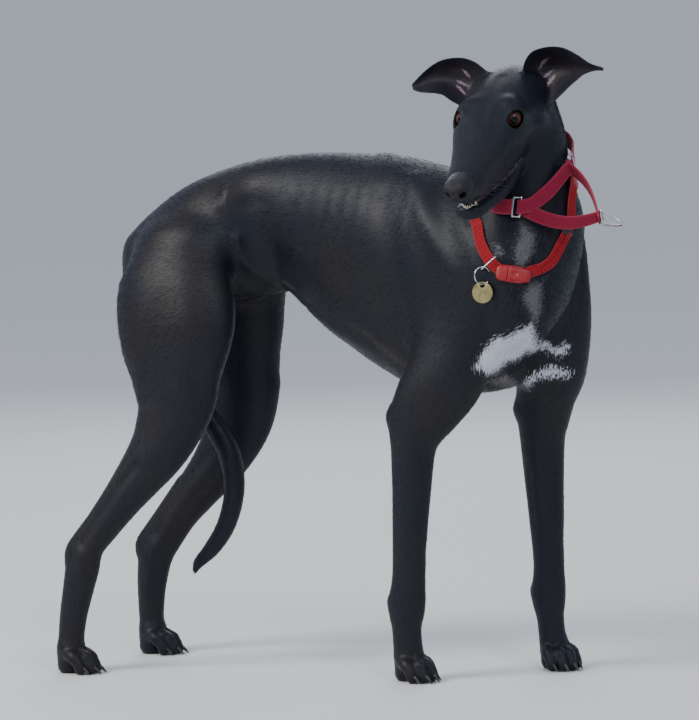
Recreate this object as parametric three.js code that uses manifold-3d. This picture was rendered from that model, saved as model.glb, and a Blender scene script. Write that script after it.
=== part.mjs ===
// A life-size greyhound standing square-on to its hind feet, its front end turned to its right and its head
// turned further still, with a slip-link collar, a narrow webbing collar and a round tag.
// Millimetres, +Z up, +X along the back towards the chest, +Y to the dog's left. The floor is z = 0.
import * as THREE from "three";
import Module from "manifold-3d";
import { mergeVertices } from "three/addons/utils/BufferGeometryUtils.js";

const wasm = await Module();
wasm.setup();

// Driving sizes
const GAP = 0.3; // clearance between touching pieces
const FLOOR = 0;
const WITHERS = 730; // height of the top of the shoulders
const HEAD_LENGTH = 284; // back of the skull to the tip of the nose
const EYE_RADIUS = 14;
const WEB_THICK = 2.6; // collar webbing
const MIDDLE = [26.2, -83.5]; // middle of the dog's box, where the stations below have their own zero

// Vectors as plain arrays
const add = (a, b, s = 1) => [a[0] + b[0] * s, a[1] + b[1] * s, a[2] + b[2] * s];
const sub = (a, b) => add(a, b, -1);
const dot = (a, b) => a[0] * b[0] + a[1] * b[1] + a[2] * b[2];
const cross = (a, b) => [
  a[1] * b[2] - a[2] * b[1],
  a[2] * b[0] - a[0] * b[2],
  a[0] * b[1] - a[1] * b[0],
];
const norm = (a) => Math.hypot(a[0], a[1], a[2]);
const unit = (a) => add([0, 0, 0], a, 1 / norm(a));
const mix = (a, b, t) => a.map((v, i) => v + (b[i] - v) * t);
const rad = THREE.MathUtils.degToRad;
const square = (direction, n) => unit(sub(direction, add([0, 0, 0], n, dot(direction, n))));

// Catmull-Rom values between rows of numbers, so that a few stations give a smooth line.
function smooth(rows, steps) {
  const out = [];
  for (let i = 0; i < rows.length - 1; i += 1) {
    const [a, b, c, d] = [rows[Math.max(i - 1, 0)], rows[i], rows[i + 1], rows[Math.min(i + 2, rows.length - 1)]];
    for (let s = 0; s < steps; s += 1) {
      const t = s / steps;
      out.push(
        b.map((_, k) => {
          const slopeB = (c[k] - a[k]) / 2;
          const slopeC = (d[k] - b[k]) / 2;
          const rise = c[k] - b[k];
          return b[k] + t * slopeB + t * t * (3 * rise - 2 * slopeB - slopeC) + t * t * t * (slopeB + slopeC - 2 * rise);
        }),
      );
    }
  }
  out.push(rows[rows.length - 1]);
  return out;
}

// The soft outside of a limb, muscle or bone, as a distance: below 0 inside.
// A station is [x, y, z, half width across, half depth towards front, half depth behind].
function limb(stations, { front = [1, 0, 0], steps = 4, power = 2 } = {}) {
  const rows = smooth(stations, steps);
  const pieces = rows.slice(1).map((end, i) => {
    const start = rows[i];
    const way = sub(end, start);
    const along = unit(way);
    const ahead = square(front, along);
    return { start, end, along, ahead, side: cross(ahead, along), length: norm(way) };
  });
  const reach = Math.max(...stations.map((s) => Math.max(s[3], s[4], s[5]))) + 70;
  const low = [0, 1, 2].map((k) => Math.min(...rows.map((r) => r[k])) - reach);
  const high = [0, 1, 2].map((k) => Math.max(...rows.map((r) => r[k])) + reach);
  return (p) => {
    const far = Math.max(...[0, 1, 2].map((k) => Math.max(low[k] - p[k], p[k] - high[k])));
    if (far > 0) return far + 70;
    let least = Infinity;
    for (const { start, end, along, ahead, side, length } of pieces) {
      const from = sub(p, start);
      const t = Math.min(Math.max(dot(from, along) / length, 0), 1);
      const r = sub(p, [0, 1, 2].map((k) => start[k] + (end[k] - start[k]) * t));
      const across = start[3] + (end[3] - start[3]) * t;
      const deep = start[4] + (end[4] - start[4]) * t;
      const behind = start[5] + (end[5] - start[5]) * t;
      const a = dot(r, side) / across;
      const f = dot(r, ahead);
      const b = f / (f > 0 ? deep : behind);
      const e = dot(r, along) / Math.min(across, (deep + behind) / 2);
      const size = norm(r) + 1e-6;
      const share = (Math.abs(a) ** power + Math.abs(b) ** power + Math.abs(e) ** power) ** (1 / power) + 1e-6;
      least = Math.min(least, size - size / share);
    }
    return least;
  };
}

const ball = (c, r) => (p) => norm(sub(p, c)) - r;
const soft = (k, ...fields) => (p) =>
  fields.reduce((least, field) => {
    const other = field(p);
    const near = Math.max(k - Math.abs(least - other), 0) / k;
    return Math.min(least, other) - (near * near * k) / 4;
  }, 1e3);
// A limb with the fillet where it leaves its root, but not the root's own far surface.
const rooted = (own, root, k, flare) => {
  const joined = soft(k, own, root);
  return (p) => Math.max(joined(p), own(p) - flare);
};

// Where a ray from inside leaves a field.
function surface(field, origin, way, most = 260) {
  let r = 0;
  while (r < most && field(add(origin, way, r)) < 0) r += Math.max(-field(add(origin, way, r)) * 0.6, 0.8);
  let low = Math.max(r - 30, 0);
  while (low > 0 && field(add(origin, way, low)) > 0) low = Math.max(low - 10, 0);
  let high = r;
  for (let i = 0; i < 24; i += 1) {
    const middle = (low + high) / 2;
    if (field(add(origin, way, middle)) < 0) low = middle;
    else high = middle;
  }
  return add(origin, way, Math.max(high, 0.4));
}

// A closed skin of rings shot outwards from a line of frames { at, axis }, on one field.
// Its ends are flat, or round where round names them.
function wrap(frames, field, { spokes = 16, ref = [0, 1, 0], round = [false, false], roundSteps = 3 } = {}) {
  const rings = [];
  const ringAt = (at, axis, tilt, sense) => {
    const u = square(ref, axis);
    const v = cross(axis, u);
    return Array.from({ length: spokes }, (_, i) => {
      const turn = (2 * Math.PI * i) / spokes;
      const flat = add(add([0, 0, 0], u, Math.cos(turn)), v, Math.sin(turn));
      const way = add(add([0, 0, 0], flat, Math.cos(tilt)), axis, sense * Math.sin(tilt));
      return surface(field, at, way);
    });
  };
  const first = frames[0];
  const last = frames[frames.length - 1];
  if (round[0])
    for (let s = roundSteps; s > 0; s -= 1) rings.push(ringAt(first.at, first.axis, (s / (roundSteps + 1)) * (Math.PI / 2), -1));
  for (const { at, axis } of frames) rings.push(ringAt(at, axis, 0, 1));
  if (round[1])
    for (let s = 1; s <= roundSteps; s += 1) rings.push(ringAt(last.at, last.axis, (s / (roundSteps + 1)) * (Math.PI / 2), 1));
  const start = round[0] ? surface(field, first.at, add([0, 0, 0], first.axis, -1)) : first.at;
  const end = round[1] ? surface(field, last.at, last.axis) : last.at;
  const points = [start, ...rings.flat(), end];
  const faces = [];
  const index = (ring, i) => 1 + ring * spokes + ((i + spokes) % spokes);
  for (let i = 0; i < spokes; i += 1) {
    faces.push([0, index(0, i + 1), index(0, i)]);
    faces.push([points.length - 1, index(rings.length - 1, i), index(rings.length - 1, i + 1)]);
    for (let ring = 0; ring < rings.length - 1; ring += 1) {
      const [a, b, c, d] = [index(ring, i), index(ring, i + 1), index(ring + 1, i + 1), index(ring + 1, i)];
      faces.push([a, b, c], [a, c, d]);
    }
  }
  return geometryOf(points, faces);
}

function geometryOf(points, faces) {
  const geometry = new THREE.BufferGeometry();
  geometry.setAttribute("position", new THREE.Float32BufferAttribute(points.flat(), 3));
  geometry.setIndex(faces.flat());
  return geometry;
}

// Solids are joined and cut by these.
function solid(geometry) {
  const bare = geometry.clone();
  bare.deleteAttribute("normal");
  bare.deleteAttribute("uv");
  const merged = mergeVertices(bare, 1e-3);
  return new wasm.Manifold(
    new wasm.Mesh({
      numProp: 3,
      vertProperties: merged.attributes.position.array,
      triVerts: new Uint32Array(merged.index.array),
    }),
  );
}

function largest(shape) {
  return shape.decompose().reduce((best, piece) => (piece.volume() > best.volume() ? piece : best));
}

function geometryFrom(shape) {
  const mesh = largest(shape).getMesh();
  const geometry = new THREE.BufferGeometry();
  geometry.setAttribute("position", new THREE.BufferAttribute(new Float32Array(mesh.vertProperties), 3));
  geometry.setIndex(new THREE.BufferAttribute(new Uint32Array(mesh.triVerts), 1));
  return geometry;
}

const grown = (field, by) => (p) => field(p) - by;

// Frames along a line of [x, y, z] points, axis along the line, or kept level where its rings must not cross.
function framesAlong(points, steps = 1, level = false) {
  const line = smooth(points, steps);
  return line.map((at, i) => {
    const way = sub(line[Math.min(i + 1, line.length - 1)], line[Math.max(i - 1, 0)]);
    return { at, axis: unit(level ? [way[0], way[1], 0] : way) };
  });
}

// Trunk: [x, y, z of the widest line, half width, height above it, depth below it]
const TRUNK = [
  [-306, -4, 588, 42, 54, 46],
  [-265, 4, 602, 64, 72, 68],
  [-208, 11, 624, 72, 87, 92],
  [-140, 15, 645, 65, 89, 104],
  [-80, 14, 650, 63, 94, 104],
  [-10, 10, 640, 74, 107, 136],
  [60, 0, 618, 87, 126, 162],
  [130, -13, 602, 95, WITHERS - 602, 184],
  [200, -34, 590, 92, 116, 178],
  [256, -60, 575, 80, 92, 165],
  [292, -80, 550, 60, 68, 136],
];
const trunk = limb(TRUNK, { front: [0, 0, 1] });

// Neck: half width, depth towards the throat and towards the nape
const NECK = [
  [270, -49, 588, 92, 80, 84],
  [301, -50, 642, 76, 70, 72],
  [306, -56, 705, 54, 58, 60],
  [306, -58, 762, 50, 52, 50],
  [296, -50, 802, 46, 44, 42],
];
const neck = limb(NECK, { front: [0.5, -0.87, 0] });

// Head frame: x towards the nose, y to the dog's left, z to the top of the skull
const OCCIPUT = [277, -31, 848];
const HEAD_TURN = rad(-90);
const HEAD_DIP = rad(30);
const HEAD_SCALE = HEAD_LENGTH / 268; // the head's stations are drawn 268 long
const HEAD_X = [Math.cos(HEAD_TURN) * Math.cos(HEAD_DIP), Math.sin(HEAD_TURN) * Math.cos(HEAD_DIP), -Math.sin(HEAD_DIP)];
const HEAD_Y = unit(cross([0, 0, 1], HEAD_X));
const HEAD_Z = cross(HEAD_X, HEAD_Y);
const headWay = ([x, y, z]) => add(add(add([0, 0, 0], HEAD_X, x), HEAD_Y, y), HEAD_Z, z);
const onHead = (local) => add(OCCIPUT, headWay(local), HEAD_SCALE);
const headRow = ([x, z, ...radii]) => [...onHead([x, 0, z]), ...radii.map((r) => r * HEAD_SCALE)];

// Skull and upper muzzle: [x, z, half width, height above, depth below]
const SKULL = [
  [12, 0, 36, 26, 34],
  [38, 0, 49, 35, 46],
  [72, 0, 55, 39, 50],
  [104, 0, 53, 37, 51],
  [134, 0, 46, 32, 56],
  [165, -2, 38, 25, 53],
  [200, -5, 31, 20, 42],
  [232, -6, 26, 17, 32],
  [250, -8, 20, 14, 22],
].map(headRow);
const sides = (make) => [1, -1].map(make);
const EYE_AT = [118, 33, 15];
const EYE_WAY = [0.78, 0.56, 0.28];
const eyeAt = (side) => onHead([EYE_AT[0], side * EYE_AT[1], EYE_AT[2]]);
const eyeWay = (side) => unit(headWay([EYE_WAY[0], side * EYE_WAY[1], EYE_WAY[2]]));
const headBall = (x, y, z, r) => ball(onHead([x, y, z]), r * HEAD_SCALE);
const skull = soft(
  10,
  limb(SKULL, { front: HEAD_Z, power: 2.2 }),
  ...sides((side) => ball(eyeAt(side), EYE_RADIUS + 3.2)),
  ...sides((side) => headBall(104, side * 27, 27, 11.5)),
  ...sides((side) => headBall(84, side * 44, -12, 17)),
);

// Lower jaw, dropped a little: [x, z, half width, height above, depth below]
const JAW = [
  [66, -40, 37, 18, 20],
  [105, -48, 37, 14, 18],
  [140, -58, 34, 11, 15],
  [180, -59, 30, 10, 13.5],
  [215, -53.5, 25, 10, 13],
  [246, -46, 19, 8.5, 12],
].map(headRow);
const jaw = limb(JAW, { front: HEAD_Z, power: 2.3 });
const NOSE = [
  [252, 2, 17, 13, 13],
  [266, 1, 19, 14, 15],
  [271, 0, 16, 11, 13],
].map(headRow);
const nose = limb(NOSE, { front: HEAD_Z, power: 2.3 });

// Legs, from the root to the last joint above the paw
const FORE_RIGHT = [
  [212, -78, 560, 24, 58, 52],
  [218, -98, 505, 32, 55, 62],
  [196, -110, 440, 35, 56, 64],
  [170, -115, 400, 33, 52, 56],
  [150, -116, 366, 30, 42, 46],
  [142, -116, 333, 27, 33, 34],
  [138, -116, 277, 24, 29, 29],
  [134, -116, 215, 21, 26, 26],
  [130, -116, 150, 19, 24, 24],
  [128, -116, 106, 21, 26, 29],
  [126, -116, 76, 18, 22, 22],
  [127, -116, 50, 19, 22, 21],
  [130, -116, 30, 19, 21, 20],
];
const FORE_LEFT = [
  [308, 4, 612, 32, 54, 44],
  [313, -2, 566, 32, 56, 56],
  [311, 14, 505, 38, 54, 58],
  [303, 29, 440, 36, 49, 55],
  [289, 39, 400, 32, 43, 47],
  [281, 44, 366, 29, 39, 40],
  [278, 47, 333, 27, 33, 34],
  [279, 48, 270, 24, 29, 29],
  [281, 49, 215, 21, 26, 26],
  [282, 50, 150, 19, 22, 22],
  [282, 50, 106, 21, 25, 26],
  [284, 50, 76, 17, 20, 21],
  [286, 50, 50, 18, 20, 20],
  [289, 50, 30, 18, 20, 19],
];
const HIND_RIGHT = [
  [-236, -52, 612, 40, 66, 66],
  [-236, -78, 560, 44, 82, 90],
  [-228, -93, 512, 43, 88, 94],
  [-227, -103, 469, 38, 82, 86],
  [-225, -110, 428, 34, 68, 70],
  [-222, -116, 392, 31, 58, 62],
  [-234, -122, 352, 29, 48, 54],
  [-252, -128, 320, 27, 43, 45],
  [-275, -134, 288, 25, 36, 38],
  [-304, -141, 251, 22, 30, 31],
  [-331, -147, 215, 20, 26, 26],
  [-352, -152, 184, 19, 23, 26],
  [-362, -154, 155, 19, 26, 26],
  [-370, -155, 122, 18, 24, 23],
  [-378, -155, 85, 17, 21, 21],
  [-383, -155, 50, 17, 20, 19],
  [-382, -155, 30, 18, 20, 19],
];
const HIND_LEFT = [
  [-216, 62, 612, 40, 66, 66],
  [-208, 76, 560, 44, 76, 82],
  [-205, 84, 512, 42, 68, 80],
  [-205, 86, 469, 38, 62, 72],
  [-203, 84, 425, 34, 54, 62],
  [-200, 80, 388, 31, 53, 54],
  [-208, 77, 350, 29, 51, 48],
  [-227, 74, 313, 27, 47, 43],
  [-248, 72, 281, 25, 41, 38],
  [-276, 69, 248, 22, 36, 32],
  [-306, 66, 212, 20, 32, 28],
  [-329, 63, 176, 19, 30, 28],
  [-342, 61, 148, 19, 27, 27],
  [-348, 60, 116, 18, 24, 24],
  [-351, 60, 82, 16, 21, 21],
  [-351, 60, 50, 17, 19, 19],
  [-348, 60, 30, 18, 20, 19],
];
// Point of the hock and its tendon; point of the elbow
const round = (rows) => limb(rows.map(([x, y, z, r]) => [x, y, z, r, r, r]));
const HEEL_RIGHT = round([
  [-318, -143, 258, 7],
  [-352, -150, 216, 7],
  [-377, -153, 182, 10],
  [-378, -154, 165, 10],
]);
const HEEL_LEFT = round([
  [-300, 67, 256, 7],
  [-336, 63, 207, 7],
  [-362, 61, 170, 10],
  [-364, 60, 154, 10],
]);
const ELBOW_RIGHT = ball([119, -116, 378], 15);
const ELBOW_LEFT = ball([251, 43, 376], 14);

const foreRight = soft(14, limb(FORE_RIGHT), ELBOW_RIGHT);
const foreLeft = soft(14, limb(FORE_LEFT), ELBOW_LEFT);
const hindRight = soft(10, limb(HIND_RIGHT), HEEL_RIGHT);
const hindLeft = soft(10, limb(HIND_LEFT), HEEL_LEFT);

// Paws: four arched toes in a fan before a heel pad, all cut level by the floor
const TOES = [
  { across: -19, ahead: 17 },
  { across: -7, ahead: 28 },
  { across: 7, ahead: 28 },
  { across: 19, ahead: 17 },
];
const TOE = { root: 11, knuckle: 10.2, tip: 8.8 };
const HEEL_PAD = { behind: 12, half: 20, deep: 18 };
function pawFrame([x, y], turn) {
  const ahead = [Math.cos(turn), Math.sin(turn), 0];
  const left = [-ahead[1], ahead[0], 0];
  return (a, l, z) => add(add([x, y, z], ahead, a), left, l);
}
const toeRows = (at, { across, ahead }) => [
  [...at(-6, across * 0.7, 28), TOE.root],
  [...at(ahead - 9, across, 23), TOE.knuckle],
  [...at(ahead + 1, across * 1.05, 8.4), TOE.tip],
];
const heelPad = (at) =>
  limb(
    [
      [...at(2 - HEEL_PAD.behind, 0, 34), HEEL_PAD.half, HEEL_PAD.half, HEEL_PAD.half],
      [...at(-HEEL_PAD.behind, 0, 12), HEEL_PAD.half, HEEL_PAD.deep, HEEL_PAD.deep],
    ],
    { front: sub(at(1, 0, 0), at(0, 0, 0)) },
  );

const PAWS = {
  fore_right: { at: pawFrame([136, -118], rad(-26)), leg: foreRight },
  fore_left: { at: pawFrame([296, 46], rad(-42)), leg: foreLeft },
  hind_right: { at: pawFrame([-374, -156], rad(-8)), leg: hindRight },
  hind_left: { at: pawFrame([-340, 59], rad(-4)), leg: hindLeft },
};

// Tail, carried between the thighs with its tip curled back
const TAIL = [
  [-314, -8, 592, 19],
  [-332, -9, 560, 18],
  [-318, -10, 505, 16],
  [-290, -10, 450, 16],
  [-250, -10, 398, 16],
  [-214, -10, 352, 16],
  [-190, -10, 312, 17],
  [-182, -10, 270, 16],
  [-186, -10, 232, 15],
  [-199, -10, 198, 14],
  [-220, -10, 168, 12],
  [-242, -10, 146, 8],
  [-249, -10, 130, 2.5],
];
const tail = round(TAIL);

const group = new THREE.Group();
const COAT = { color: 0x17181c, roughness: 0.5, metalness: 0 };
const MATERIALS = {
  coat: new THREE.MeshStandardMaterial(COAT),
  ear: new THREE.MeshStandardMaterial({ color: 0x1b191c, roughness: 0.6, metalness: 0 }),
  eye: new THREE.MeshStandardMaterial({ color: 0x3a2416, roughness: 0.08, metalness: 0 }),
  nose: new THREE.MeshStandardMaterial({ color: 0x131315, roughness: 0.35, metalness: 0 }),
  webbing: new THREE.MeshStandardMaterial({ color: 0xb01030, roughness: 0.75, metalness: 0 }),
  webbing_narrow: new THREE.MeshStandardMaterial({ color: 0xc41420, roughness: 0.7, metalness: 0 }),
  buckle: new THREE.MeshStandardMaterial({ color: 0xc01820, roughness: 0.35, metalness: 0 }),
  steel: new THREE.MeshStandardMaterial({ color: 0xc8c8cc, roughness: 0.25, metalness: 1 }),
  keeper: new THREE.MeshStandardMaterial({ color: 0x101014, roughness: 0.4, metalness: 0 }),
  tongue: new THREE.MeshStandardMaterial({ color: 0xa85a68, roughness: 0.35, metalness: 0 }),
  teeth: new THREE.MeshStandardMaterial({ color: 0xe6dfcc, roughness: 0.3, metalness: 0 }),
  brass: new THREE.MeshStandardMaterial({ color: 0xb0a860, roughness: 0.4, metalness: 1 }),
};
function place(name, geometry, slot) {
  const mesh = new THREE.Mesh(geometry, MATERIALS[slot]);
  mesh.name = name;
  group.add(mesh);
  return mesh;
}

// Trunk
const trunkFrames = framesAlong(TRUNK.map((s) => s.slice(0, 3)), 2, true);
const trunkSkin = (by) => solid(wrap(trunkFrames, grown(trunk, by), { spokes: 22, ref: [0, 0, 1], round: [true, true] }));
place("torso", geometryFrom(trunkSkin(0)), "coat");
const trunkClear = trunkSkin(2 * GAP);

// Neck, with the fillets where it meets the trunk, the skull and the jaw
const neckField = rooted(neck, soft(10, trunk, skull), 40, 11);
const neckFrames = framesAlong(NECK.map((s) => s.slice(0, 3)), 2);
const neckSkin = (by) => solid(wrap(neckFrames, grown(neckField, by), { spokes: 22, ref: [0, 1, 0], round: [true, true] }));
const neckBody = neckSkin(0);
const neckClear = neckSkin(2 * GAP);

// Frames down a leg between two of its stations, axis blended towards the joint's own cut.
function legFrames(stations, from, to, steps = 1) {
  const fine = 4;
  const line = smooth(stations.map((s) => s.slice(0, 3)), fine);
  return Array.from({ length: (to - from) * steps + 1 }, (_, k) => {
    const i = from * fine + (k * fine) / steps;
    const axis = unit(sub(line[Math.min(i + 1, line.length - 1)], line[Math.max(i - 1, 0)]));
    return { at: line[i], axis };
  });
}
const nudge = ({ at, axis }, by) => ({ at: add(at, axis, by), axis });
const segment = (stations, from, to, field, options) => {
  const frames = legFrames(stations, from, to, options.steps);
  if (!options.round?.[0]) frames[0] = nudge(frames[0], GAP / 2);
  if (!options.round?.[1]) frames[frames.length - 1] = nudge(frames[frames.length - 1], -GAP / 2);
  return wrap(frames, field, { ref: [0, 1, 0], ...options });
};

// Legs: the root piece is cut by the trunk, and the rest meet in flat joints
const LEGS = {
  fore_right: { rows: FORE_RIGHT, own: foreRight, names: ["shoulder", "forearm", "pastern"], cuts: [0, 4, 9, 11] },
  fore_left: { rows: FORE_LEFT, own: foreLeft, names: ["shoulder", "forearm", "pastern"], cuts: [0, 5, 10, 12] },
  hind_right: { rows: HIND_RIGHT, own: hindRight, names: ["thigh", "shank", "hock"], cuts: [0, 6, 12, 15] },
  hind_left: { rows: HIND_LEFT, own: hindLeft, names: ["thigh", "shank", "hock"], cuts: [0, 6, 12, 15] },
};
for (const [side, { rows, own, names, cuts }] of Object.entries(LEGS)) {
  const blended = rooted(own, trunk, 40, 9);
  names.forEach((name, i) => {
    const first = i === 0;
    const shape = segment(rows, cuts[i], cuts[i + 1], first ? blended : own, {
      spokes: first ? 20 : 16,
      steps: first ? 2 : 1,
      round: [first, false],
    });
    place(`${name}_${side}`, first ? geometryFrom(solid(shape).subtract(trunkClear).subtract(neckClear)) : shape, "coat");
  });
}

// Paws: level rings up to the flat end of the leg, with toes and claws joined on
const PAW_LEVELS = [0, 0.2, 0.42, 0.66, 1];
const UNDER = 2; // how far a paw is drawn below the floor before it is cut level
function paw(name, { at, leg }, rows, cut) {
  const field = soft(8, heelPad(at), leg);
  const top = nudge(legFrames(rows, cut, cut)[0], GAP / 2);
  const up = add([0, 0, 0], top.axis, -1);
  const sole = at(-HEEL_PAD.behind, 0, FLOOR - UNDER);
  const frames = PAW_LEVELS.map((t) => ({ at: mix(sole, top.at, t), axis: unit(mix([0, 0, 1], up, t * t)) }));
  const ref = sub(at(1, 0, 0), at(0, 0, 0));
  let shape = solid(wrap(frames, field, { spokes: 14, ref }));
  for (const toe of TOES) {
    const line = toeRows(at, toe);
    const steps = framesAlong(line.map((row) => row.slice(0, 3)));
    shape = shape.add(solid(wrap(steps, round(line), { spokes: 7, ref: [0, 0, 1], round: [false, true], roundSteps: 1 })));
    shape = shape.add(claw(at, toe.across * 1.05, toe.ahead));
  }
  place(name, geometryFrom(shape.trimByPlane([0, 0, 1], FLOOR)), "coat");
}

const CLAW = { length: 15, radius: 2.9, clear: 2 };
function claw(at, across, ahead) {
  const root = at(ahead + 4, across, 10);
  const tip = at(ahead + 17, across * 1.04, CLAW.clear);
  const way = unit(sub(tip, root));
  const cone = new THREE.ConeGeometry(CLAW.radius, CLAW.length, 5);
  cone.applyQuaternion(new THREE.Quaternion().setFromUnitVectors(new THREE.Vector3(0, 1, 0), new THREE.Vector3(...way)));
  const middle = mix(root, tip, 0.5);
  cone.translate(...middle);
  return solid(cone);
}
for (const [side, { rows, cuts }] of Object.entries(LEGS)) paw(`paw_${side}`, PAWS[side], rows, cuts[3]);

// Tail in three lengths, its root cut by the trunk
const tailRoot = rooted(tail, trunk, 24, 5);
const TAIL_CUTS = [0, 4, 8, 12];
["tail_root", "tail_middle", "tail_tip"].forEach((name, i) => {
  const first = i === 0;
  const shape = segment(TAIL, TAIL_CUTS[i], TAIL_CUTS[i + 1], first ? tailRoot : tail, {
    spokes: 12,
    round: [first, i === 2],
  });
  place(name, first ? geometryFrom(solid(shape).subtract(trunkClear)) : shape, "coat");
});

// Head: skull with sockets, jaw, nose with nostrils
const headFrames = framesAlong(SKULL.map((s) => s.slice(0, 3)), 2);
const headSkin = (by) =>
  solid(wrap(headFrames, grown(skull, by), { spokes: 26, ref: HEAD_Z, round: [true, true] }));
const headBody = headSkin(0);
const headClear = headSkin(2 * GAP);

const EYE_SLIT = { half: 15, height: 10.4, depth: 13 };
function turned(geometry, x, y, z, at) {
  const basis = new THREE.Matrix4().makeBasis(...[x, y, z].map((v) => new THREE.Vector3(...v)));
  return geometry.clone().applyMatrix4(basis).translate(...at);
}
function eyeFrame(side) {
  const out = eyeWay(side);
  const slit = square(headWay([0.75, -side * 0.55, -0.36]), out);
  return { out, slit, up: cross(out, slit) };
}
let skullCut = headBody;
sides((side) => {
  const { out, slit, up } = eyeFrame(side);
  const centre = eyeAt(side);
  const ballShape = (r) => new THREE.SphereGeometry(r, 14, 9);
  const frame = [slit, up, cross(slit, up)];
  skullCut = skullCut.subtract(solid(turned(ballShape(EYE_RADIUS + 0.6), ...frame, centre)));
  const opening = new THREE.SphereGeometry(1, 14, 7).scale(EYE_SLIT.half, EYE_SLIT.height, EYE_SLIT.depth);
  skullCut = skullCut.subtract(solid(turned(opening, ...frame, add(centre, out, EYE_RADIUS))));
  place(side > 0 ? "eye_left" : "eye_right", turned(ballShape(EYE_RADIUS), ...frame, centre), "eye");
});

place("neck", geometryFrom(neckBody.subtract(trunkClear).subtract(headClear)), "coat");
place("head", geometryFrom(skullCut), "coat");

const jawFrames = framesAlong(JAW.map((s) => s.slice(0, 3)), 2);
const jawSkin = (by) => solid(wrap(jawFrames, grown(jaw, by), { spokes: 16, ref: HEAD_Z, round: [true, true] }));
place("lower_jaw", geometryFrom(jawSkin(0).subtract(headClear).subtract(neckClear)), "coat");

const noseFrames = framesAlong(NOSE.map((s) => s.slice(0, 3)));
let noseBody = solid(wrap(noseFrames, nose, { spokes: 14, ref: HEAD_Z, round: [true, true] }));
sides((side) => {
  const nostril = new THREE.SphereGeometry(1, 8, 5).scale(7, 4.6, 4.4);
  const frame = [headWay([0.7, side * 0.7, -0.1]), headWay([-0.7 * side, 0.7, 0]), HEAD_Z].map(unit);
  const y = cross(frame[2], frame[0]);
  noseBody = noseBody.subtract(solid(turned(nostril, frame[0], unit(y), unit(cross(frame[0], unit(y))), onHead([278, side * 9.5, -1]))));
});
place("nose", geometryFrom(noseBody.subtract(headClear)), "nose");

// Ears: a cupped flap each. A row is its upper rim, its lower rim and how far its middle sits back.
const EARS = {
  right: [
    [[262, -74, 850], [222, -90, 812], 14],
    [[249, -78, 863], [203, -94, 822], 20],
    [[231, -80, 877], [190, -95, 831], 22],
    [[209, -82, 883], [181, -98, 834], 20],
    [[182, -86, 879], [171, -100, 835], 13],
    [[161, -92, 865], [158, -100, 836], 7],
    [[144, -98, 847], [147, -100, 839], 2],
  ],
  left: [
    [[304, -74, 846], [338, -78, 812], 14],
    [[303, -76, 868], [355, -78, 826], 24],
    [[315, -78, 888], [370, -77, 840], 30],
    [[339, -80, 896], [382, -76, 850], 26],
    [[364, -84, 895], [392, -78, 857], 17],
    [[387, -88, 885], [404, -84, 861], 9],
    [[407, -92, 873], [415, -90, 863], 4],
    [[426, -94, 867], [427, -94, 863], 1],
  ],
};
const EAR_BACK = unit([-0.37, 0.93, 0]);
const EAR_THICK = 3.4;
function ear(rows, across = 7) {
  const flat = smooth(rows.map(([a, b, d]) => [...a, ...b, d]), 2);
  const grid = flat.map((row) =>
    Array.from({ length: across + 1 }, (_, j) => {
      const t = j / across;
      const on = mix(row.slice(0, 3), row.slice(3, 6), t);
      return add(on, EAR_BACK, 4 * t * (1 - t) * row[6]);
    }),
  );
  const lay = (offset) =>
    grid.map((row, i) =>
      row.map((p, j) => {
        const along = sub(grid[Math.min(i + 1, grid.length - 1)][j], grid[Math.max(i - 1, 0)][j]);
        const over = sub(row[Math.min(j + 1, across)], row[Math.max(j - 1, 0)]);
        const edge = Math.min(1, 0.45 + 0.9 * Math.min(j, across - j) / across) * (i === grid.length - 1 ? 0.4 : 1);
        return add(p, unit(cross(along, over)), offset * edge);
      }),
    );
  const front = lay(EAR_THICK / 2);
  const back = lay(-EAR_THICK / 2);
  const points = [...front.flat(), ...back.flat()];
  const n = across + 1;
  const rowsOut = grid.length;
  const id = (sheet, i, j) => sheet * rowsOut * n + i * n + j;
  const faces = [];
  const quad = (a, b, c, d) => faces.push([a, b, c], [a, c, d]);
  for (let i = 0; i < rowsOut - 1; i += 1) {
    for (let j = 0; j < across; j += 1) {
      quad(id(0, i, j), id(0, i + 1, j), id(0, i + 1, j + 1), id(0, i, j + 1));
      quad(id(1, i, j), id(1, i, j + 1), id(1, i + 1, j + 1), id(1, i + 1, j));
    }
    quad(id(0, i, 0), id(1, i, 0), id(1, i + 1, 0), id(0, i + 1, 0));
    quad(id(0, i, across), id(0, i + 1, across), id(1, i + 1, across), id(1, i, across));
  }
  for (let j = 0; j < across; j += 1) {
    quad(id(0, 0, j), id(0, 0, j + 1), id(1, 0, j + 1), id(1, 0, j));
    quad(id(0, rowsOut - 1, j), id(1, rowsOut - 1, j), id(1, rowsOut - 1, j + 1), id(0, rowsOut - 1, j + 1));
  }
  return solid(geometryOf(points, faces));
}
for (const [side, rows] of Object.entries(EARS)) {
  place(`ear_${side}`, geometryFrom(ear(rows).subtract(headClear).subtract(neckClear)), "ear");
}

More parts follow.
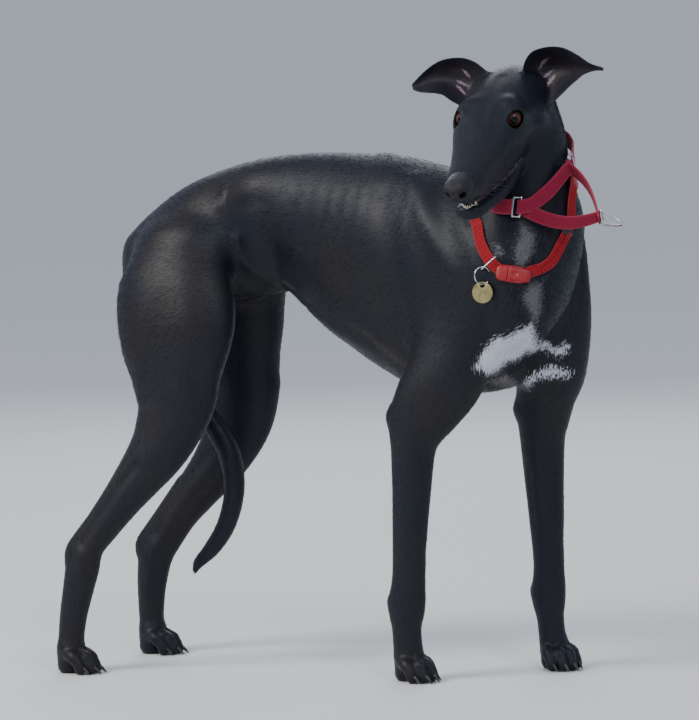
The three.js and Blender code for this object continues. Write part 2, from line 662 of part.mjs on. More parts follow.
// Collars. A strap, wire or cord is a section [across, out] swept along points { p, w }, w its width direction.
function sweep(path, section, closed = false) {
  const n = section.length;
  const points = [];
  path.forEach(({ p, w }, i) => {
    const back = path[closed ? (i - 1 + path.length) % path.length : Math.max(i - 1, 0)].p;
    const next = path[closed ? (i + 1) % path.length : Math.min(i + 1, path.length - 1)].p;
    const along = unit(sub(next, back));
    const across = square(w, along);
    const out = cross(along, across);
    section.forEach(([a, o]) => points.push(add(add(p, across, a), out, o)));
  });
  const faces = [];
  const count = closed ? path.length : path.length - 1;
  for (let i = 0; i < count; i += 1)
    for (let j = 0; j < n; j += 1) {
      const [a, b] = [i * n + j, i * n + ((j + 1) % n)];
      const [c, d] = [((i + 1) % path.length) * n + ((j + 1) % n), ((i + 1) % path.length) * n + j];
      faces.push([a, b, c], [a, c, d]);
    }
  if (!closed)
    for (let j = 1; j < n - 1; j += 1) {
      const end = (path.length - 1) * n;
      faces.push([0, j + 1, j], [end, end + j, end + j + 1]);
    }
  return solid(geometryOf(points, faces));
}
const strapSection = (width, thick) => [
  [-width / 2, -thick / 2],
  [width / 2, -thick / 2],
  [width / 2, thick / 2],
  [-width / 2, thick / 2],
];
const wireSection = (r, sides = 6) =>
  Array.from({ length: sides }, (_, i) => [r * Math.cos((2 * Math.PI * i) / sides), r * Math.sin((2 * Math.PI * i) / sides)]);

const body = (p) => Math.min(neckField(p), trunk(p));
function slope(field, p) {
  const e = 0.5;
  return unit([0, 1, 2].map((k) => field(p.map((v, i) => v + (i === k ? e : 0))) - field(p.map((v, i) => v - (i === k ? e : 0)))));
}
const standing = (usual) => ([x, y, z, stand = usual]) => [x, y, z, stand];
// A guide is [x, y, z, stand]: the strap lies that far off the neck where the ray from the middle meets it.
function lay(guides, middle, steps, closed) {
  const rows = closed ? [guides[guides.length - 1], ...guides, guides[0], guides[1]] : guides;
  const fine = smooth(rows, steps);
  const line = closed ? fine.slice(steps, fine.length - 1 - steps) : fine;
  const placed = line.map((g) => {
    const way = unit(sub(g, middle));
    const on = surface(body, middle, way);
    const out = slope(body, on);
    return { p: add(on, out, g[3]), out };
  });
  return placed.map(({ p, out }, i) => {
    const back = placed[closed ? (i - 1 + placed.length) % placed.length : Math.max(i - 1, 0)].p;
    const next = placed[closed ? (i + 1) % placed.length : Math.min(i + 1, placed.length - 1)].p;
    return { p, out, w: unit(cross(out, unit(sub(next, back)))) };
  });
}

// Slip-link collar: a band round the neck between two slides, and a loop through both to a ring
const BAND = { width: 22, thick: WEB_THICK, stand: 7.9 };
const NECK_MIDDLE = [303, -57, 716];
const BAND_GUIDES = [
  [304, -117, 673],
  [280, -114, 675],
  [257, -103, 694, 9],
  [246, -82, 725, 11.6],
  [247, -51, 750],
  [264, -24, 760],
  [288, -9, 769],
  [314, -9, 770],
  [337, -21, 763],
  [350, -38, 750],
  [358, -62, 733],
].map(standing(BAND.stand));
const LOOP_GUIDES = [
  [309, -117, 674],
  [322, -111, 679],
  [334, -103, 689],
  [347, -92, 706],
  [356, -76, 724, 10.6],
  [358, -66, 731, 11.2],
].map(standing(BAND.stand));
const LOOP_END = [423, -100, 659];
const LOOP_WIDE = unit([0.1, -0.66, 0.72]);
const WIRE = 1.6;
const SLIDE = { reach: 5.4, half: 13.4 };
const bandPath = lay(BAND_GUIDES, NECK_MIDDLE, 2, false);
const strandPath = lay(LOOP_GUIDES, NECK_MIDDLE, 2, false);
const wayAt = (path, i) => unit(sub(path[Math.min(i + 1, path.length - 1)].p, path[Math.max(i - 1, 0)].p));

function slide(at, along, wide) {
  const side = square(wide, along);
  const corner = (a, b) => add(add(at, along, a * SLIDE.reach), side, b * SLIDE.half);
  const inset = 0.82;
  const path = [
    [1, inset], [inset, 1], [-inset, 1], [-1, inset], [-1, -inset], [-inset, -1], [inset, -1], [1, -inset],
  ].map(([a, b]) => ({ p: corner(a, b), w: cross(along, side) }));
  return { shape: sweep(path, wireSection(WIRE), true), bar: (sense) => add(at, along, sense * SLIDE.reach), side };
}
const lastOf = (list) => list[list.length - 1];
const slideA = slide(mix(bandPath[0].p, strandPath[0].p, 0.5), wayAt(strandPath, 0), strandPath[0].w);
const slideB = slide(mix(lastOf(bandPath).p, lastOf(strandPath).p, 0.5), wayAt(strandPath, strandPath.length - 1), lastOf(strandPath).w);

function tube(middle, along, radius, length, segments = 10) {
  const shape = new THREE.CylinderGeometry(radius, radius, length, segments);
  shape.applyQuaternion(new THREE.Quaternion().setFromUnitVectors(new THREE.Vector3(0, 1, 0), new THREE.Vector3(...along)));
  shape.translate(...middle);
  return solid(shape);
}
const SLEEVE = WIRE + 0.5 + 2;
function sleeved(strip, bars) {
  let shape = strip;
  for (const { at, side } of bars) shape = shape.add(tube(at, side, SLEEVE, BAND.width));
  for (const { at, side } of bars) shape = shape.subtract(tube(at, side, WIRE + 0.5, BAND.width + 4));
  return shape;
}
const barA = { at: slideA.bar(-1), side: slideA.side };
const barB = { at: slideB.bar(1), side: slideB.side };
const bandLine = [{ p: barA.at, w: barA.side }, ...bandPath.slice(2, -2), { p: barB.at, w: barB.side }];
place("martingale_band", geometryFrom(sleeved(sweep(bandLine, strapSection(BAND.width, BAND.thick)), [barA, barB])), "webbing");

// Where the loop turns about a bar: an arc between the outer sides of the strands it joins
const TURN = WIRE + 0.9 + WEB_THICK / 2;
function turn(bar, before, after, wide, steps = 4) {
  const outside = (way) => unit(cross(way, wide));
  const [u, v] = [outside(before), outside(after)];
  return Array.from({ length: steps + 1 }, (_, i) => {
    const angle = (i / steps) * Math.acos(Math.min(1, Math.max(-1, dot(u, v))));
    const off = unit(add(add([0, 0, 0], u, Math.cos(angle)), square(v, u), Math.sin(angle)));
    return { p: add(bar, off, TURN), w: wide };
  });
}
const loopA = slideA.bar(1);
const loopB = slideB.bar(-1);
const sideA = slideA.side;
const sideB = slideB.side;
const inner = strandPath.slice(2, -2);
const turnA = turn(loopA, unit(sub(loopA, LOOP_END)), wayAt(strandPath, 1), sideA);
const turnB = turn(loopB, wayAt(strandPath, strandPath.length - 2), unit(sub(LOOP_END, loopB)), sideB);
const turnC = turn(LOOP_END, unit(sub(LOOP_END, loopB)), unit(sub(loopA, LOOP_END)), LOOP_WIDE);
const bowed = (from, to, bow) =>
  [1, 2, 3, 4, 5].map((k) => {
    const t = k / 6;
    return { p: add(mix(from.p, to.p, t), bow, Math.sin(Math.PI * t)), w: unit(mix(from.w, to.w, t)) };
  });
const loopLine = [
  ...turnA,
  ...inner,
  ...turnB,
  ...bowed(lastOf(turnB), turnC[0], [6, 4, 7]),
  ...turnC,
  ...bowed(lastOf(turnC), turnA[0], [4, -8, -15]),
];
place("martingale_loop", geometryFrom(sweep(loopLine, strapSection(BAND.width - 2, WEB_THICK), true)), "webbing");
place("slide_lower", geometryFrom(slideA.shape), "steel");
place("slide_upper", geometryFrom(slideB.shape), "steel");

// Wire ring at the end of the loop
const RING = { half: 13, reach: 34 };
const ringOut = square([0.78, 0.12, -0.5], LOOP_WIDE);
const ringPath = [
  [0, 1], [0, 0], [0, -1], [0.12, -1.12], [0.5, -0.82], [0.88, -0.4], [1, 0], [0.88, 0.4], [0.5, 0.82], [0.12, 1.12],
].map(([a, b]) => ({
  p: add(add(LOOP_END, ringOut, a * RING.reach), LOOP_WIDE, b * RING.half * 0.92),
  w: cross(ringOut, LOOP_WIDE),
}));
place("end_ring", geometryFrom(sweep(ringPath, wireSection(WIRE), true)), "steel");

// Narrow ribbed collar hanging low at the throat: buckle, adjuster, keeper, hook, ring and tag
const STRAP = { width: 16, thick: 2.2, stand: 3.6 };
const STRAP_MIDDLE = [298, -64, 665];
const STRAP_GUIDES = [
  [249, -128, 648],
  [255, -138, 629, 4],
  [264, -144, 609, 5.3],
  [283, -146, 582, 6.6],
  [306, -143, 572, 6.8],
  [330, -131, 575, 5.6],
  [348, -110, 594, 4.2],
  [359, -92, 621, 4],
  [366, -78, 655, 4.6],
  [366, -73, 678, 5],
  [363, -57, 704, 6],
  [351, -30, 724, 5],
  [322, -8, 734],
  [292, -6, 734],
  [264, -20, 728, 8.4],
  [245, -52, 711, 10],
  [238, -86, 694, 5],
  [239, -112, 668],
].map(standing(STRAP.stand));
const strapPath = lay(STRAP_GUIDES, STRAP_MIDDLE, 2, true);
const nearest = (path, target) => path.reduce((best, q, i) => (norm(sub(q.p, target)) < norm(sub(path[best].p, target)) ? i : best), 0);

// A moulded fitting on the strap, as a function of how much it is grown
function fitting(target, length, half, deep) {
  const i = nearest(strapPath, target);
  const { p, out } = strapPath[i];
  const along = wayAt(strapPath, i);
  const rows = [-0.5, 0, 0.5].map((t) => add(p, along, t * length));
  const field = limb(rows.map((row) => [...row, half, deep, deep]), { front: out, steps: 1, power: 5 });
  const frames = rows.map((at) => ({ at, axis: along }));
  return {
    p,
    out,
    along,
    skin: (by) => solid(wrap(frames, grown(field, by), { spokes: 16, ref: out, round: [true, true], roundSteps: 2 })),
  };
}
const buckle = fitting([305, -148, 582], 42, 12, 5);
const adjuster = fitting([364, -57, 704], 10, 11, 3.4);
const keeper = fitting([361, -89, 646], 5, 10.6, 3);
let strapBody = sweep(strapPath, strapSection(STRAP.width, STRAP.thick), true);
for (const { skin } of [buckle, adjuster, keeper]) strapBody = strapBody.subtract(skin(2 * GAP));
const strapPieces = strapBody.decompose().sort((a, b) => b.volume() - a.volume());
strapPieces.slice(0, 3).forEach((piece, i) => place(`narrow_collar_${i + 1}`, geometryFrom(piece), "webbing_narrow"));

const boxAt = (middle, along, wide, out, size) => {
  const box = new THREE.BoxGeometry(...size);
  return solid(turned(box, along, wide, out, middle));
};
const buckleSide = cross(buckle.out, buckle.along);
let buckleBody = buckle.skin(0);
for (const side of [1, -1])
  buckleBody = buckleBody.subtract(
    boxAt(add(add(buckle.p, buckleSide, side * 12.5), buckle.along, 4), buckle.along, buckleSide, buckle.out, [17, 7, 4]),
  );
buckleBody = buckleBody.subtract(
  boxAt(add(add(buckle.p, buckle.out, 5.6), buckle.along, -9), buckle.along, buckleSide, buckle.out, [1.6, 26, 3]),
);
place("buckle", geometryFrom(buckleBody), "buckle");
place("adjuster", geometryFrom(adjuster.skin(0)), "buckle");
place("keeper", geometryFrom(keeper.skin(0)), "keeper");

const HOOK = { wire: 1.1, over: 11.4, under: 14.5, below: 3.3, above: 15 };
const TAG_RING = { radius: 12.2, wire: 1, stand: 10.6, turn: rad(-45) };
const TAG = { radius: 15, thick: 1.8, hole: 3.6, holeUp: 10.2 };
const hooked = strapPath[nearest(strapPath, [277, -146, 591])];
const hookDown = add([0, 0, 0], hooked.w, hooked.w[2] < 0 ? 1 : -1);
const hookStand = norm(sub(hooked.p, add(hooked.p, hooked.out, -4.8)));
const hookPoint = (a, o) => add(add(hooked.p, hookDown, a), hooked.out, o - hookStand);
const hookPath = [
  [-HOOK.over, hookStand - HOOK.below + 1.5],
  [-HOOK.over + 1.5, hookStand - HOOK.below],
  [HOOK.under - 1.5, hookStand - HOOK.below],
  [HOOK.under, hookStand - HOOK.below + 1.5],
  [HOOK.under, HOOK.above - 2],
  [HOOK.under - 2, HOOK.above],
  [HOOK.under - 5, HOOK.above - 1],
  [-HOOK.over + 2, hookStand + HOOK.below + 1],
  [-HOOK.over, hookStand + HOOK.below - 1],
].map(([a, o]) => ({ p: hookPoint(a, o), w: wayAt(strapPath, nearest(strapPath, hooked.p)) }));
place("tag_hook", geometryFrom(sweep(hookPath, wireSection(HOOK.wire), true)), "steel");

const UP = [0, 0, 1];
const tagOut = square(hooked.out, UP);
const tagSide = cross(UP, tagOut);
const ringMiddle = add(hookPoint(HOOK.under, TAG_RING.stand), UP, -(TAG_RING.radius - TAG_RING.wire - HOOK.wire - 1.2));
const ringSide = add(add([0, 0, 0], tagSide, Math.cos(TAG_RING.turn)), tagOut, Math.sin(TAG_RING.turn));
const ringLine = Array.from({ length: 18 }, (_, i) => {
  const a = (2 * Math.PI * i) / 18;
  return {
    p: add(add(ringMiddle, ringSide, TAG_RING.radius * Math.cos(a)), UP, TAG_RING.radius * Math.sin(a)),
    w: cross(ringSide, UP),
  };
});
place("split_ring", geometryFrom(sweep(ringLine, wireSection(TAG_RING.wire), true)), "steel");
const holeMiddle = add(ringMiddle, UP, -(TAG_RING.radius + 1.5));
const disc = (middle, r, thick, sides) => tube(middle, tagOut, r, thick, sides);
place(
  "tag",
  geometryFrom(
    disc(add(holeMiddle, UP, -TAG.holeUp), TAG.radius, TAG.thick, 32).subtract(disc(holeMiddle, TAG.hole, TAG.thick * 3, 12)),
  ),
  "brass",
);

// Tongue and lower front teeth, seen in the parted lips
const TONGUE = [
  [196, -41, 11, 4, 5],
  [222, -38, 12, 3.5, 5],
  [240, -37, 9, 2.5, 4],
].map(headRow);
const jawClear = jawSkin(2 * GAP);
const tongueFrames = framesAlong(TONGUE.map((t) => t.slice(0, 3)));
const tongue = solid(wrap(tongueFrames, limb(TONGUE, { front: HEAD_Z }), { spokes: 12, ref: HEAD_Z, round: [true, true], roundSteps: 2 }));
place("tongue", geometryFrom(tongue.subtract(jawClear).subtract(headClear)), "tongue");

const GUM = { ahead: 252, curve: 0.11, z: -38.5, radius: 1.9, sunk: 0.8 };
const gumAt = (y, up) => onHead([GUM.ahead - GUM.curve * y * y, y, GUM.z + up]);
let teeth = sweep([-10, -8, -4, 0, 4, 8, 10].map((y) => ({ p: gumAt(y, 0), w: HEAD_Z })), wireSection(GUM.radius));
const FRONT_TOOTH = { tall: 3.6, radius: 1.3 };
const CORNER_TOOTH = { tall: 6, radius: 2 };
const TEETH = [-6, -3.6, -1.2, 1.2, 3.6, 6].map((y) => [y, FRONT_TOOTH]).concat([-9.4, 9.4].map((y) => [y, CORNER_TOOTH]));
for (const [y, { tall, radius }] of TEETH) {
  const cone = new THREE.CylinderGeometry(0.5, radius, tall, 6);
  cone.applyQuaternion(new THREE.Quaternion().setFromUnitVectors(new THREE.Vector3(0, 1, 0), new THREE.Vector3(...HEAD_Z)));
  cone.translate(...gumAt(y, tall / 2 + GUM.sunk));
  teeth = teeth.add(solid(cone));
}
place("teeth_lower", geometryFrom(teeth.subtract(jawClear).subtract(headClear)), "teeth");

// The row's frame starts at floor level under the middle of the whole dog's box.
group.children.forEach((mesh) => mesh.geometry.translate(-MIDDLE[0], -MIDDLE[1], 0));

export default group;
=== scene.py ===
"""A life-size greyhound with its collars: skin, coat, eyes, claws, collars, tag and stage."""

import math

import bmesh
import bpy
import numpy as np
from mathutils import Matrix, Vector
from mathutils.kdtree import KDTree


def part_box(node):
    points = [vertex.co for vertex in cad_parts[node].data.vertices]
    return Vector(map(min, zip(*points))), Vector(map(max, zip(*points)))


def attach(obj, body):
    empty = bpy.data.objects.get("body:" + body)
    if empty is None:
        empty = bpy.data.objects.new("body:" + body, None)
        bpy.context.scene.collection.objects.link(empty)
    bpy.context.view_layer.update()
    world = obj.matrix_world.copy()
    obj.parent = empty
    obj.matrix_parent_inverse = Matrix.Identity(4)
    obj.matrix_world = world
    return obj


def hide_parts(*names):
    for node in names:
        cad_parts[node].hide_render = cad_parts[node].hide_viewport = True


bl_info = {
    "name": "Greyhound Model",
    "version": (1, 0, 0),
    "blender": (4, 5, 0),
    "location": "View3D > Sidebar > Greyhound",
    "description": "Builds the skin, coat, eyes, claws, collars and tag of a standing greyhound",
    "category": "Add Mesh",
}

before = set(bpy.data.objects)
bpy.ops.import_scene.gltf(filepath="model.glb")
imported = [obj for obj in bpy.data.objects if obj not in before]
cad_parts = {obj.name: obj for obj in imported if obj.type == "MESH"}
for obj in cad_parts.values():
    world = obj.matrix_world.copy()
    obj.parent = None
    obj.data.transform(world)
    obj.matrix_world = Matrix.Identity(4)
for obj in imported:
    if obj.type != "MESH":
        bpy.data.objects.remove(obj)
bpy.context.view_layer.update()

# Stations are in millimetres, from the same zero as the part's source. MIDDLE is that source's own shift.
MIDDLE = (26.2, -83.5)
EYE_RADIUS = 14.0
HEAD_LENGTH = 284.0
WEB_THICK = 2.6
STRAP_THICK = 2.2
EAR_MARGIN = 1.9  # ears are meshed this much thicker, then drawn back to their true surface
COAT_DEPTH = 0.4  # how far the skin lies inside the solids


def to_metres(points):
    """Model points in metres, in the row's frame."""
    return (np.asarray(points, float) - [MIDDLE[0], MIDDLE[1], 0.0]) / 1000.0


# Vectors


def unit(v):
    v = np.asarray(v, float)
    return v / (np.linalg.norm(v, axis=-1, keepdims=True) + 1e-12)


def square(direction, n):
    direction = np.asarray(direction, float)
    return unit(direction - np.sum(direction * n, axis=-1, keepdims=True) * n)


def smooth(rows, steps):
    """Catmull-Rom values between rows of numbers."""
    rows = [np.asarray(r, float) for r in rows]
    out = []
    for i in range(len(rows) - 1):
        a, b, c, d = rows[max(i - 1, 0)], rows[i], rows[i + 1], rows[min(i + 2, len(rows) - 1)]
        for s in range(steps):
            t = s / steps
            m, n, rise = (c - a) / 2, (d - b) / 2, c - b
            out.append(b + t * m + t * t * (3 * rise - 2 * m - n) + t**3 * (m + n - 2 * rise))
    out.append(rows[-1])
    return np.array(out)


# Collars: rows of [x, y, z, direction of the width]

BAND_LINE = [
    (302, -125.6, 675.5, 0.06, 0.2, 0.98), (277.8, -123.2, 676.5, -0.54, -0.23, -0.81),
    (266.4, -114.7, 687.9, -0.81, -0.07, -0.58), (258.2, -103.5, 701.2, -0.81, 0.19, -0.56),
    (252.9, -92.2, 714.9, -0.65, 0.35, -0.68), (247.5, -80.9, 723.3, -0.23, 0.54, -0.81),
    (245.4, -66.2, 734.2, -0.02, 0.57, -0.82), (247, -50.4, 744.6, 0.16, 0.47, -0.87),
    (251.4, -35.1, 751.9, 0.22, 0.32, -0.92), (260.2, -20.8, 757.9, 0.15, 0.26, -0.95),
    (272.5, -10.3, 762.1, 0.27, 0.1, -0.96), (286.1, -3.6, 766.9, 0.23, 0.11, -0.97),
    (300.5, -0.8, 769.8, 0.13, 0.11, -0.99), (315.2, -1.5, 770.9, 0.01, 0.14, -0.99),
    (330.1, -5.9, 769.5, -0.12, 0.2, -0.97), (343.2, -13.8, 765, -0.23, 0.26, -0.94),
    (352.4, -22.8, 759.5, -0.21, 0.4, -0.89), (359.7, -33.5, 752.3, -0.17, 0.47, -0.86),
    (368.9, -59.9, 734.9, -0.08, -0.44, 0.9),
]
LOOP_LINE = [
    (311.8, -120.7, 673.9, 0.06, 0.2, 0.98), (309.5, -122.3, 674.4, 0.06, 0.2, 0.98),
    (308.9, -125.1, 675, 0.06, 0.2, 0.98), (310.5, -127.4, 675.4, 0.06, 0.2, 0.98),
    (313.3, -128.1, 675.3, 0.06, 0.2, 0.98), (325.3, -121.7, 677.3, -0.34, -0.05, 0.94),
    (333.1, -118.6, 681.5, -0.54, -0.13, 0.83), (340.5, -113.6, 688.3, -0.61, -0.17, 0.77),
    (348.7, -107.2, 696.3, -0.55, -0.34, 0.77), (355.5, -98.8, 705.6, -0.42, -0.51, 0.75),
    (362.1, -89, 716.2, -0.34, -0.56, 0.76), (367.1, -79.4, 725.1, -0.23, -0.53, 0.82),
    (371.3, -70.2, 730.1, -0.08, -0.44, 0.9), (370.4, -71.9, 729.2, -0.08, -0.44, 0.9),
    (368.6, -72.8, 728.6, -0.08, -0.44, 0.9), (366.5, -72.7, 728.5, -0.08, -0.44, 0.9),
    (364.7, -71.6, 728.9, -0.08, -0.44, 0.9), (377, -74.7, 720.5, -0.05, -0.48, 0.88),
    (388.4, -78.3, 711.2, -0.02, -0.52, 0.85), (398.4, -82.8, 700.2, 0.01, -0.56, 0.83),
    (406.8, -88.4, 687.4, 0.04, -0.6, 0.8), (413.9, -94.9, 673, 0.07, -0.64, 0.77),
    (420.1, -102, 657.6, 0.1, -0.67, 0.73), (419.3, -100.7, 658.9, 0.1, -0.67, 0.73),
    (419.5, -99.1, 660.3, 0.1, -0.67, 0.73), (420.8, -97.9, 661.3, 0.1, -0.67, 0.73),
    (422.8, -97.2, 661.6, 0.1, -0.67, 0.73), (406.3, -105.1, 656.1, 0.1, -0.56, 0.82),
    (389.2, -112, 652.7, 0.1, -0.42, 0.9), (371.3, -117, 652.8, 0.09, -0.27, 0.96),
    (352.2, -119.8, 656.8, 0.08, -0.1, 0.99), (332.3, -120.8, 664.4, 0.07, 0.06, 1),
]
STRAP_LINE = [
    (249.5, -129.9, 650.1, 0.91, 0.09, 0.41), (252.8, -135.1, 640.7, 0.94, -0, 0.33),
    (256, -139.4, 631.4, 0.93, 0.01, 0.37), (260, -142.7, 622.4, 0.9, 0.02, 0.45),
    (265.6, -145.2, 612.4, 0.85, 0.03, 0.53), (274.6, -146.3, 599.3, 0.75, 0.02, 0.66),
    (285.9, -145.3, 589.4, 0.57, 0.16, 0.81), (295.8, -145.1, 584.1, 0.3, 0.24, 0.92),
    (306.9, -142.5, 581.9, 0.06, 0.29, 0.95), (319.4, -137.9, 580.5, -0.25, 0.15, 0.96),
    (330.1, -128.6, 585.8, -0.43, 0.08, 0.9), (339.2, -120.2, 588.5, -0.16, -0.38, 0.91),
    (350.1, -111.4, 596.4, -0.47, -0.41, 0.78), (355.8, -101.9, 608.3, -0.46, -0.62, 0.63),
    (360.8, -93.6, 622, -0.47, -0.7, 0.54), (367.3, -86.6, 638, -0.46, -0.76, 0.46),
    (371, -80.2, 654.7, -0.41, -0.86, 0.32), (371.5, -77.6, 667.7, -0.42, -0.88, 0.2),
    (370.7, -74.6, 678.4, -0.33, -0.88, 0.34), (370.7, -67.6, 692.8, -0.33, -0.8, 0.49),
    (368.6, -57.1, 705.4, -0.19, -0.69, 0.7), (363.4, -42.6, 715.6, -0.02, -0.54, 0.84),
    (355, -27.6, 724, 0.16, -0.39, 0.91), (341.1, -13.4, 731.9, 0.15, -0.26, 0.95),
    (323.6, -3.9, 735.5, 0.08, -0.19, 0.98), (307.4, -0.8, 737.1, 0.01, -0.31, 0.95),
    (291.1, -1.2, 736.9, -0.02, -0.33, 0.94), (273.9, -5.2, 734.8, -0.07, -0.35, 0.93),
    (257.6, -15.2, 728.9, -0.05, -0.3, 0.95), (245.1, -32.1, 724.9, 0.36, -0.4, 0.84),
    (238.3, -53, 719.2, 0.75, -0.35, 0.55), (237.8, -72.5, 709, 0.92, -0.21, 0.34),
    (238.8, -87.8, 696.7, 0.94, -0.23, 0.24), (237.5, -101, 683, 0.82, -0.41, 0.4),
    (239.1, -113.2, 670.1, 0.9, -0.19, 0.39), (243.2, -123, 659.3, 0.85, -0.08, 0.51),
]
DOUBLED = slice(11, 16)  # stations of the tag collar where its webbing comes back on itself
RING_LINE = [
    (424.2, -108, 667.8, -0.29, -0.72, -0.62), (423, -100, 659, -0.29, -0.72, -0.62),
    (421.8, -92, 650.2, -0.29, -0.72, -0.62), (425.5, -91.6, 648.1, -0.29, -0.72, -0.62),
    (438.2, -95.9, 647.3, -0.29, -0.72, -0.62), (451, -101.2, 647.5, -0.29, -0.72, -0.62),
    (455.4, -105, 649.9, -0.29, -0.72, -0.62), (452, -107.7, 654.5, -0.29, -0.72, -0.62),
    (440.2, -109.1, 661.6, -0.29, -0.72, -0.62), (428.2, -109.6, 667.7, -0.29, -0.72, -0.62),
]
HOOK_LINE = [
    (283, -144.2, 606.9, 0.66, -0, -0.75), (281.8, -142.8, 605.9, 0.66, -0, -0.75),
    (264.7, -143.3, 590.7, 0.66, -0, -0.75), (263.6, -144.8, 589.7, 0.66, -0, -0.75),
    (264.2, -154.8, 589.5, 0.66, -0, -0.75), (265.8, -156.7, 590.7, 0.66, -0, -0.75),
    (268, -155.7, 592.7, 0.66, -0, -0.75), (281.9, -150.4, 605.4, 0.66, -0, -0.75),
    (283.2, -148.3, 606.8, 0.66, -0, -0.75),
]
SLIDES = {  # middle, along, wide
    "slide_lower": ((307.3, -125, 675.1), (0.99, 0.11, -0.086), (0.063, 0.198, 0.978)),
    "slide_upper": ((368.2, -64.7, 732.5), (0.122, 0.888, 0.442), (-0.077, -0.436, 0.897)),
}
SLIDE_REACH, SLIDE_HALF, WIRE = 5.4, 13.4, 1.6
SPLIT_RING = ((264, -152.4, 580.6), (0.669, 0.743, 0), 12.2, 1.0)  # middle, side, radius, wire

# Soft solids: functions from points to a distance, below 0 inside


class Limb:
    """A muscle or bone swept along stations [x, y, z, half width, depth in front, depth behind]."""

    REACH = 56.0  # how far off its surface a limb still counts

    def __init__(self, stations, front=(1, 0, 0), steps=4, power=2.0):
        rows = smooth(stations, steps)
        self.power = power
        self.start, self.end = rows[:-1, :3], rows[1:, :3]
        self.size0, self.size1 = rows[:-1, 3:6], rows[1:, 3:6]
        way = self.end - self.start
        self.length = np.linalg.norm(way, axis=1)
        self.along = unit(way)
        self.ahead = square(np.tile(np.asarray(front, float), (len(way), 1)), self.along)
        self.side = np.cross(self.ahead, self.along)
        reach = np.maximum(self.size0, self.size1).max(1)[:, None] + self.REACH
        self.lows = np.minimum(self.start, self.end) - reach
        self.highs = np.maximum(self.start, self.end) + reach
        self.low, self.high = self.lows.min(0), self.highs.max(0)

    def __call__(self, points):
        out = np.full(len(points), self.REACH)
        box = np.flatnonzero(((points > self.low) & (points < self.high)).all(1))
        if not len(box):
            return out
        near = points[box]
        least = np.full(len(near), self.REACH)
        for i in range(len(self.length)):
            inside = np.flatnonzero(((near > self.lows[i]) & (near < self.highs[i])).all(1))
            if not len(inside):
                continue
            p = near[inside]
            start, along = self.start[i], self.along[i]
            t = np.clip((p - start) @ along / self.length[i], 0, 1)
            r = p - start - (self.end[i] - start) * t[:, None]
            sizes = self.size0[i] + (self.size1[i] - self.size0[i]) * t[:, None]
            a = r @ self.side[i] / sizes[:, 0]
            f = r @ self.ahead[i]
            b = f / np.where(f > 0, sizes[:, 1], sizes[:, 2])
            e = r @ along / np.minimum(sizes[:, 0], (sizes[:, 1] + sizes[:, 2]) / 2)
            size = np.sqrt(np.einsum("ij,ij->i", r, r)) + 1e-6
            if self.power == 2.0:
                share = np.sqrt(a * a + b * b + e * e) + 1e-6
            else:
                share = np.abs(a) ** self.power + np.abs(b) ** self.power + np.abs(e) ** self.power
                share = share ** (1 / self.power) + 1e-6
            least[inside] = np.minimum(least[inside], size - size / share)
        out[box] = least
        return out


def rope(stations, **options):
    return Limb([(x, y, z, r, r, r) for x, y, z, r in stations], **options)


def ball(centre, radius):
    centre = np.asarray(centre, float)
    return lambda p: np.linalg.norm(p - centre, axis=1) - radius


def melt(a, b, k):
    near = np.maximum(k - np.abs(a - b), 0) / k
    return np.minimum(a, b) - near * near * k / 4


def carve(a, b, k):
    """a with b taken away, with a soft edge."""
    return -melt(-a, b, k)


def soft(k, *fields):
    def value(p):
        least = fields[0](p)
        for field in fields[1:]:
            least = melt(least, field(p), k)
        return least

    return value


def slope(field, p, e=0.6):
    grad = np.empty_like(p)
    for axis in range(3):
        step = np.zeros(3)
        step[axis] = e
        grad[:, axis] = (field(p + step) - field(p - step)) / (2 * e)
    return grad


def settle(field, p, rounds=2):
    """Points moved on to the field's surface."""
    for _ in range(rounds):
        g = slope(field, p)
        f = field(p)
        move = f / (np.einsum("ij,ij->i", g, g) + 1e-9)
        p = p - g * np.clip(move, -3, 3)[:, None]
    return p


# The greyhound's stations

TRUNK = [
    (-306, -4, 588, 42, 54, 46),
    (-265, 4, 602, 64, 72, 68),
    (-208, 11, 624, 72, 87, 92),
    (-140, 15, 645, 65, 89, 104),
    (-80, 14, 650, 63, 94, 104),
    (-10, 10, 640, 74, 107, 136),
    (60, 0, 618, 87, 126, 162),
    (130, -13, 602, 95, 128, 184),
    (200, -34, 590, 92, 116, 178),
    (256, -60, 575, 80, 92, 165),
    (292, -80, 550, 60, 68, 136),
]
NECK = [
    (270, -49, 588, 92, 80, 84),
    (301, -50, 642, 76, 70, 72),
    (306, -56, 705, 54, 58, 60),
    (306, -58, 762, 50, 52, 50),
    (296, -50, 802, 46, 44, 42),
]
FORE_RIGHT = [
    (212, -78, 560, 24, 58, 52),
    (218, -98, 505, 32, 55, 62),
    (196, -110, 440, 35, 56, 64),
    (170, -115, 400, 33, 52, 56),
    (150, -116, 366, 30, 42, 46),
    (142, -116, 333, 27, 33, 34),
    (138, -116, 277, 24, 29, 29),
    (134, -116, 215, 21, 26, 26),
    (130, -116, 150, 19, 24, 24),
    (128, -116, 106, 21, 26, 29),
    (126, -116, 76, 18, 22, 22),
    (127, -116, 50, 19, 22, 21),
    (130, -116, 30, 19, 21, 20),
]
FORE_LEFT = [
    (308, 4, 612, 32, 54, 44),
    (313, -2, 566, 32, 56, 56),
    (311, 14, 505, 38, 54, 58),
    (303, 29, 440, 36, 49, 55),
    (289, 39, 400, 32, 43, 47),
    (281, 44, 366, 29, 39, 40),
    (278, 47, 333, 27, 33, 34),
    (279, 48, 270, 24, 29, 29),
    (281, 49, 215, 21, 26, 26),
    (282, 50, 150, 19, 22, 22),
    (282, 50, 106, 21, 25, 26),
    (284, 50, 76, 17, 20, 21),
    (286, 50, 50, 18, 20, 20),
    (289, 50, 30, 18, 20, 19),
]
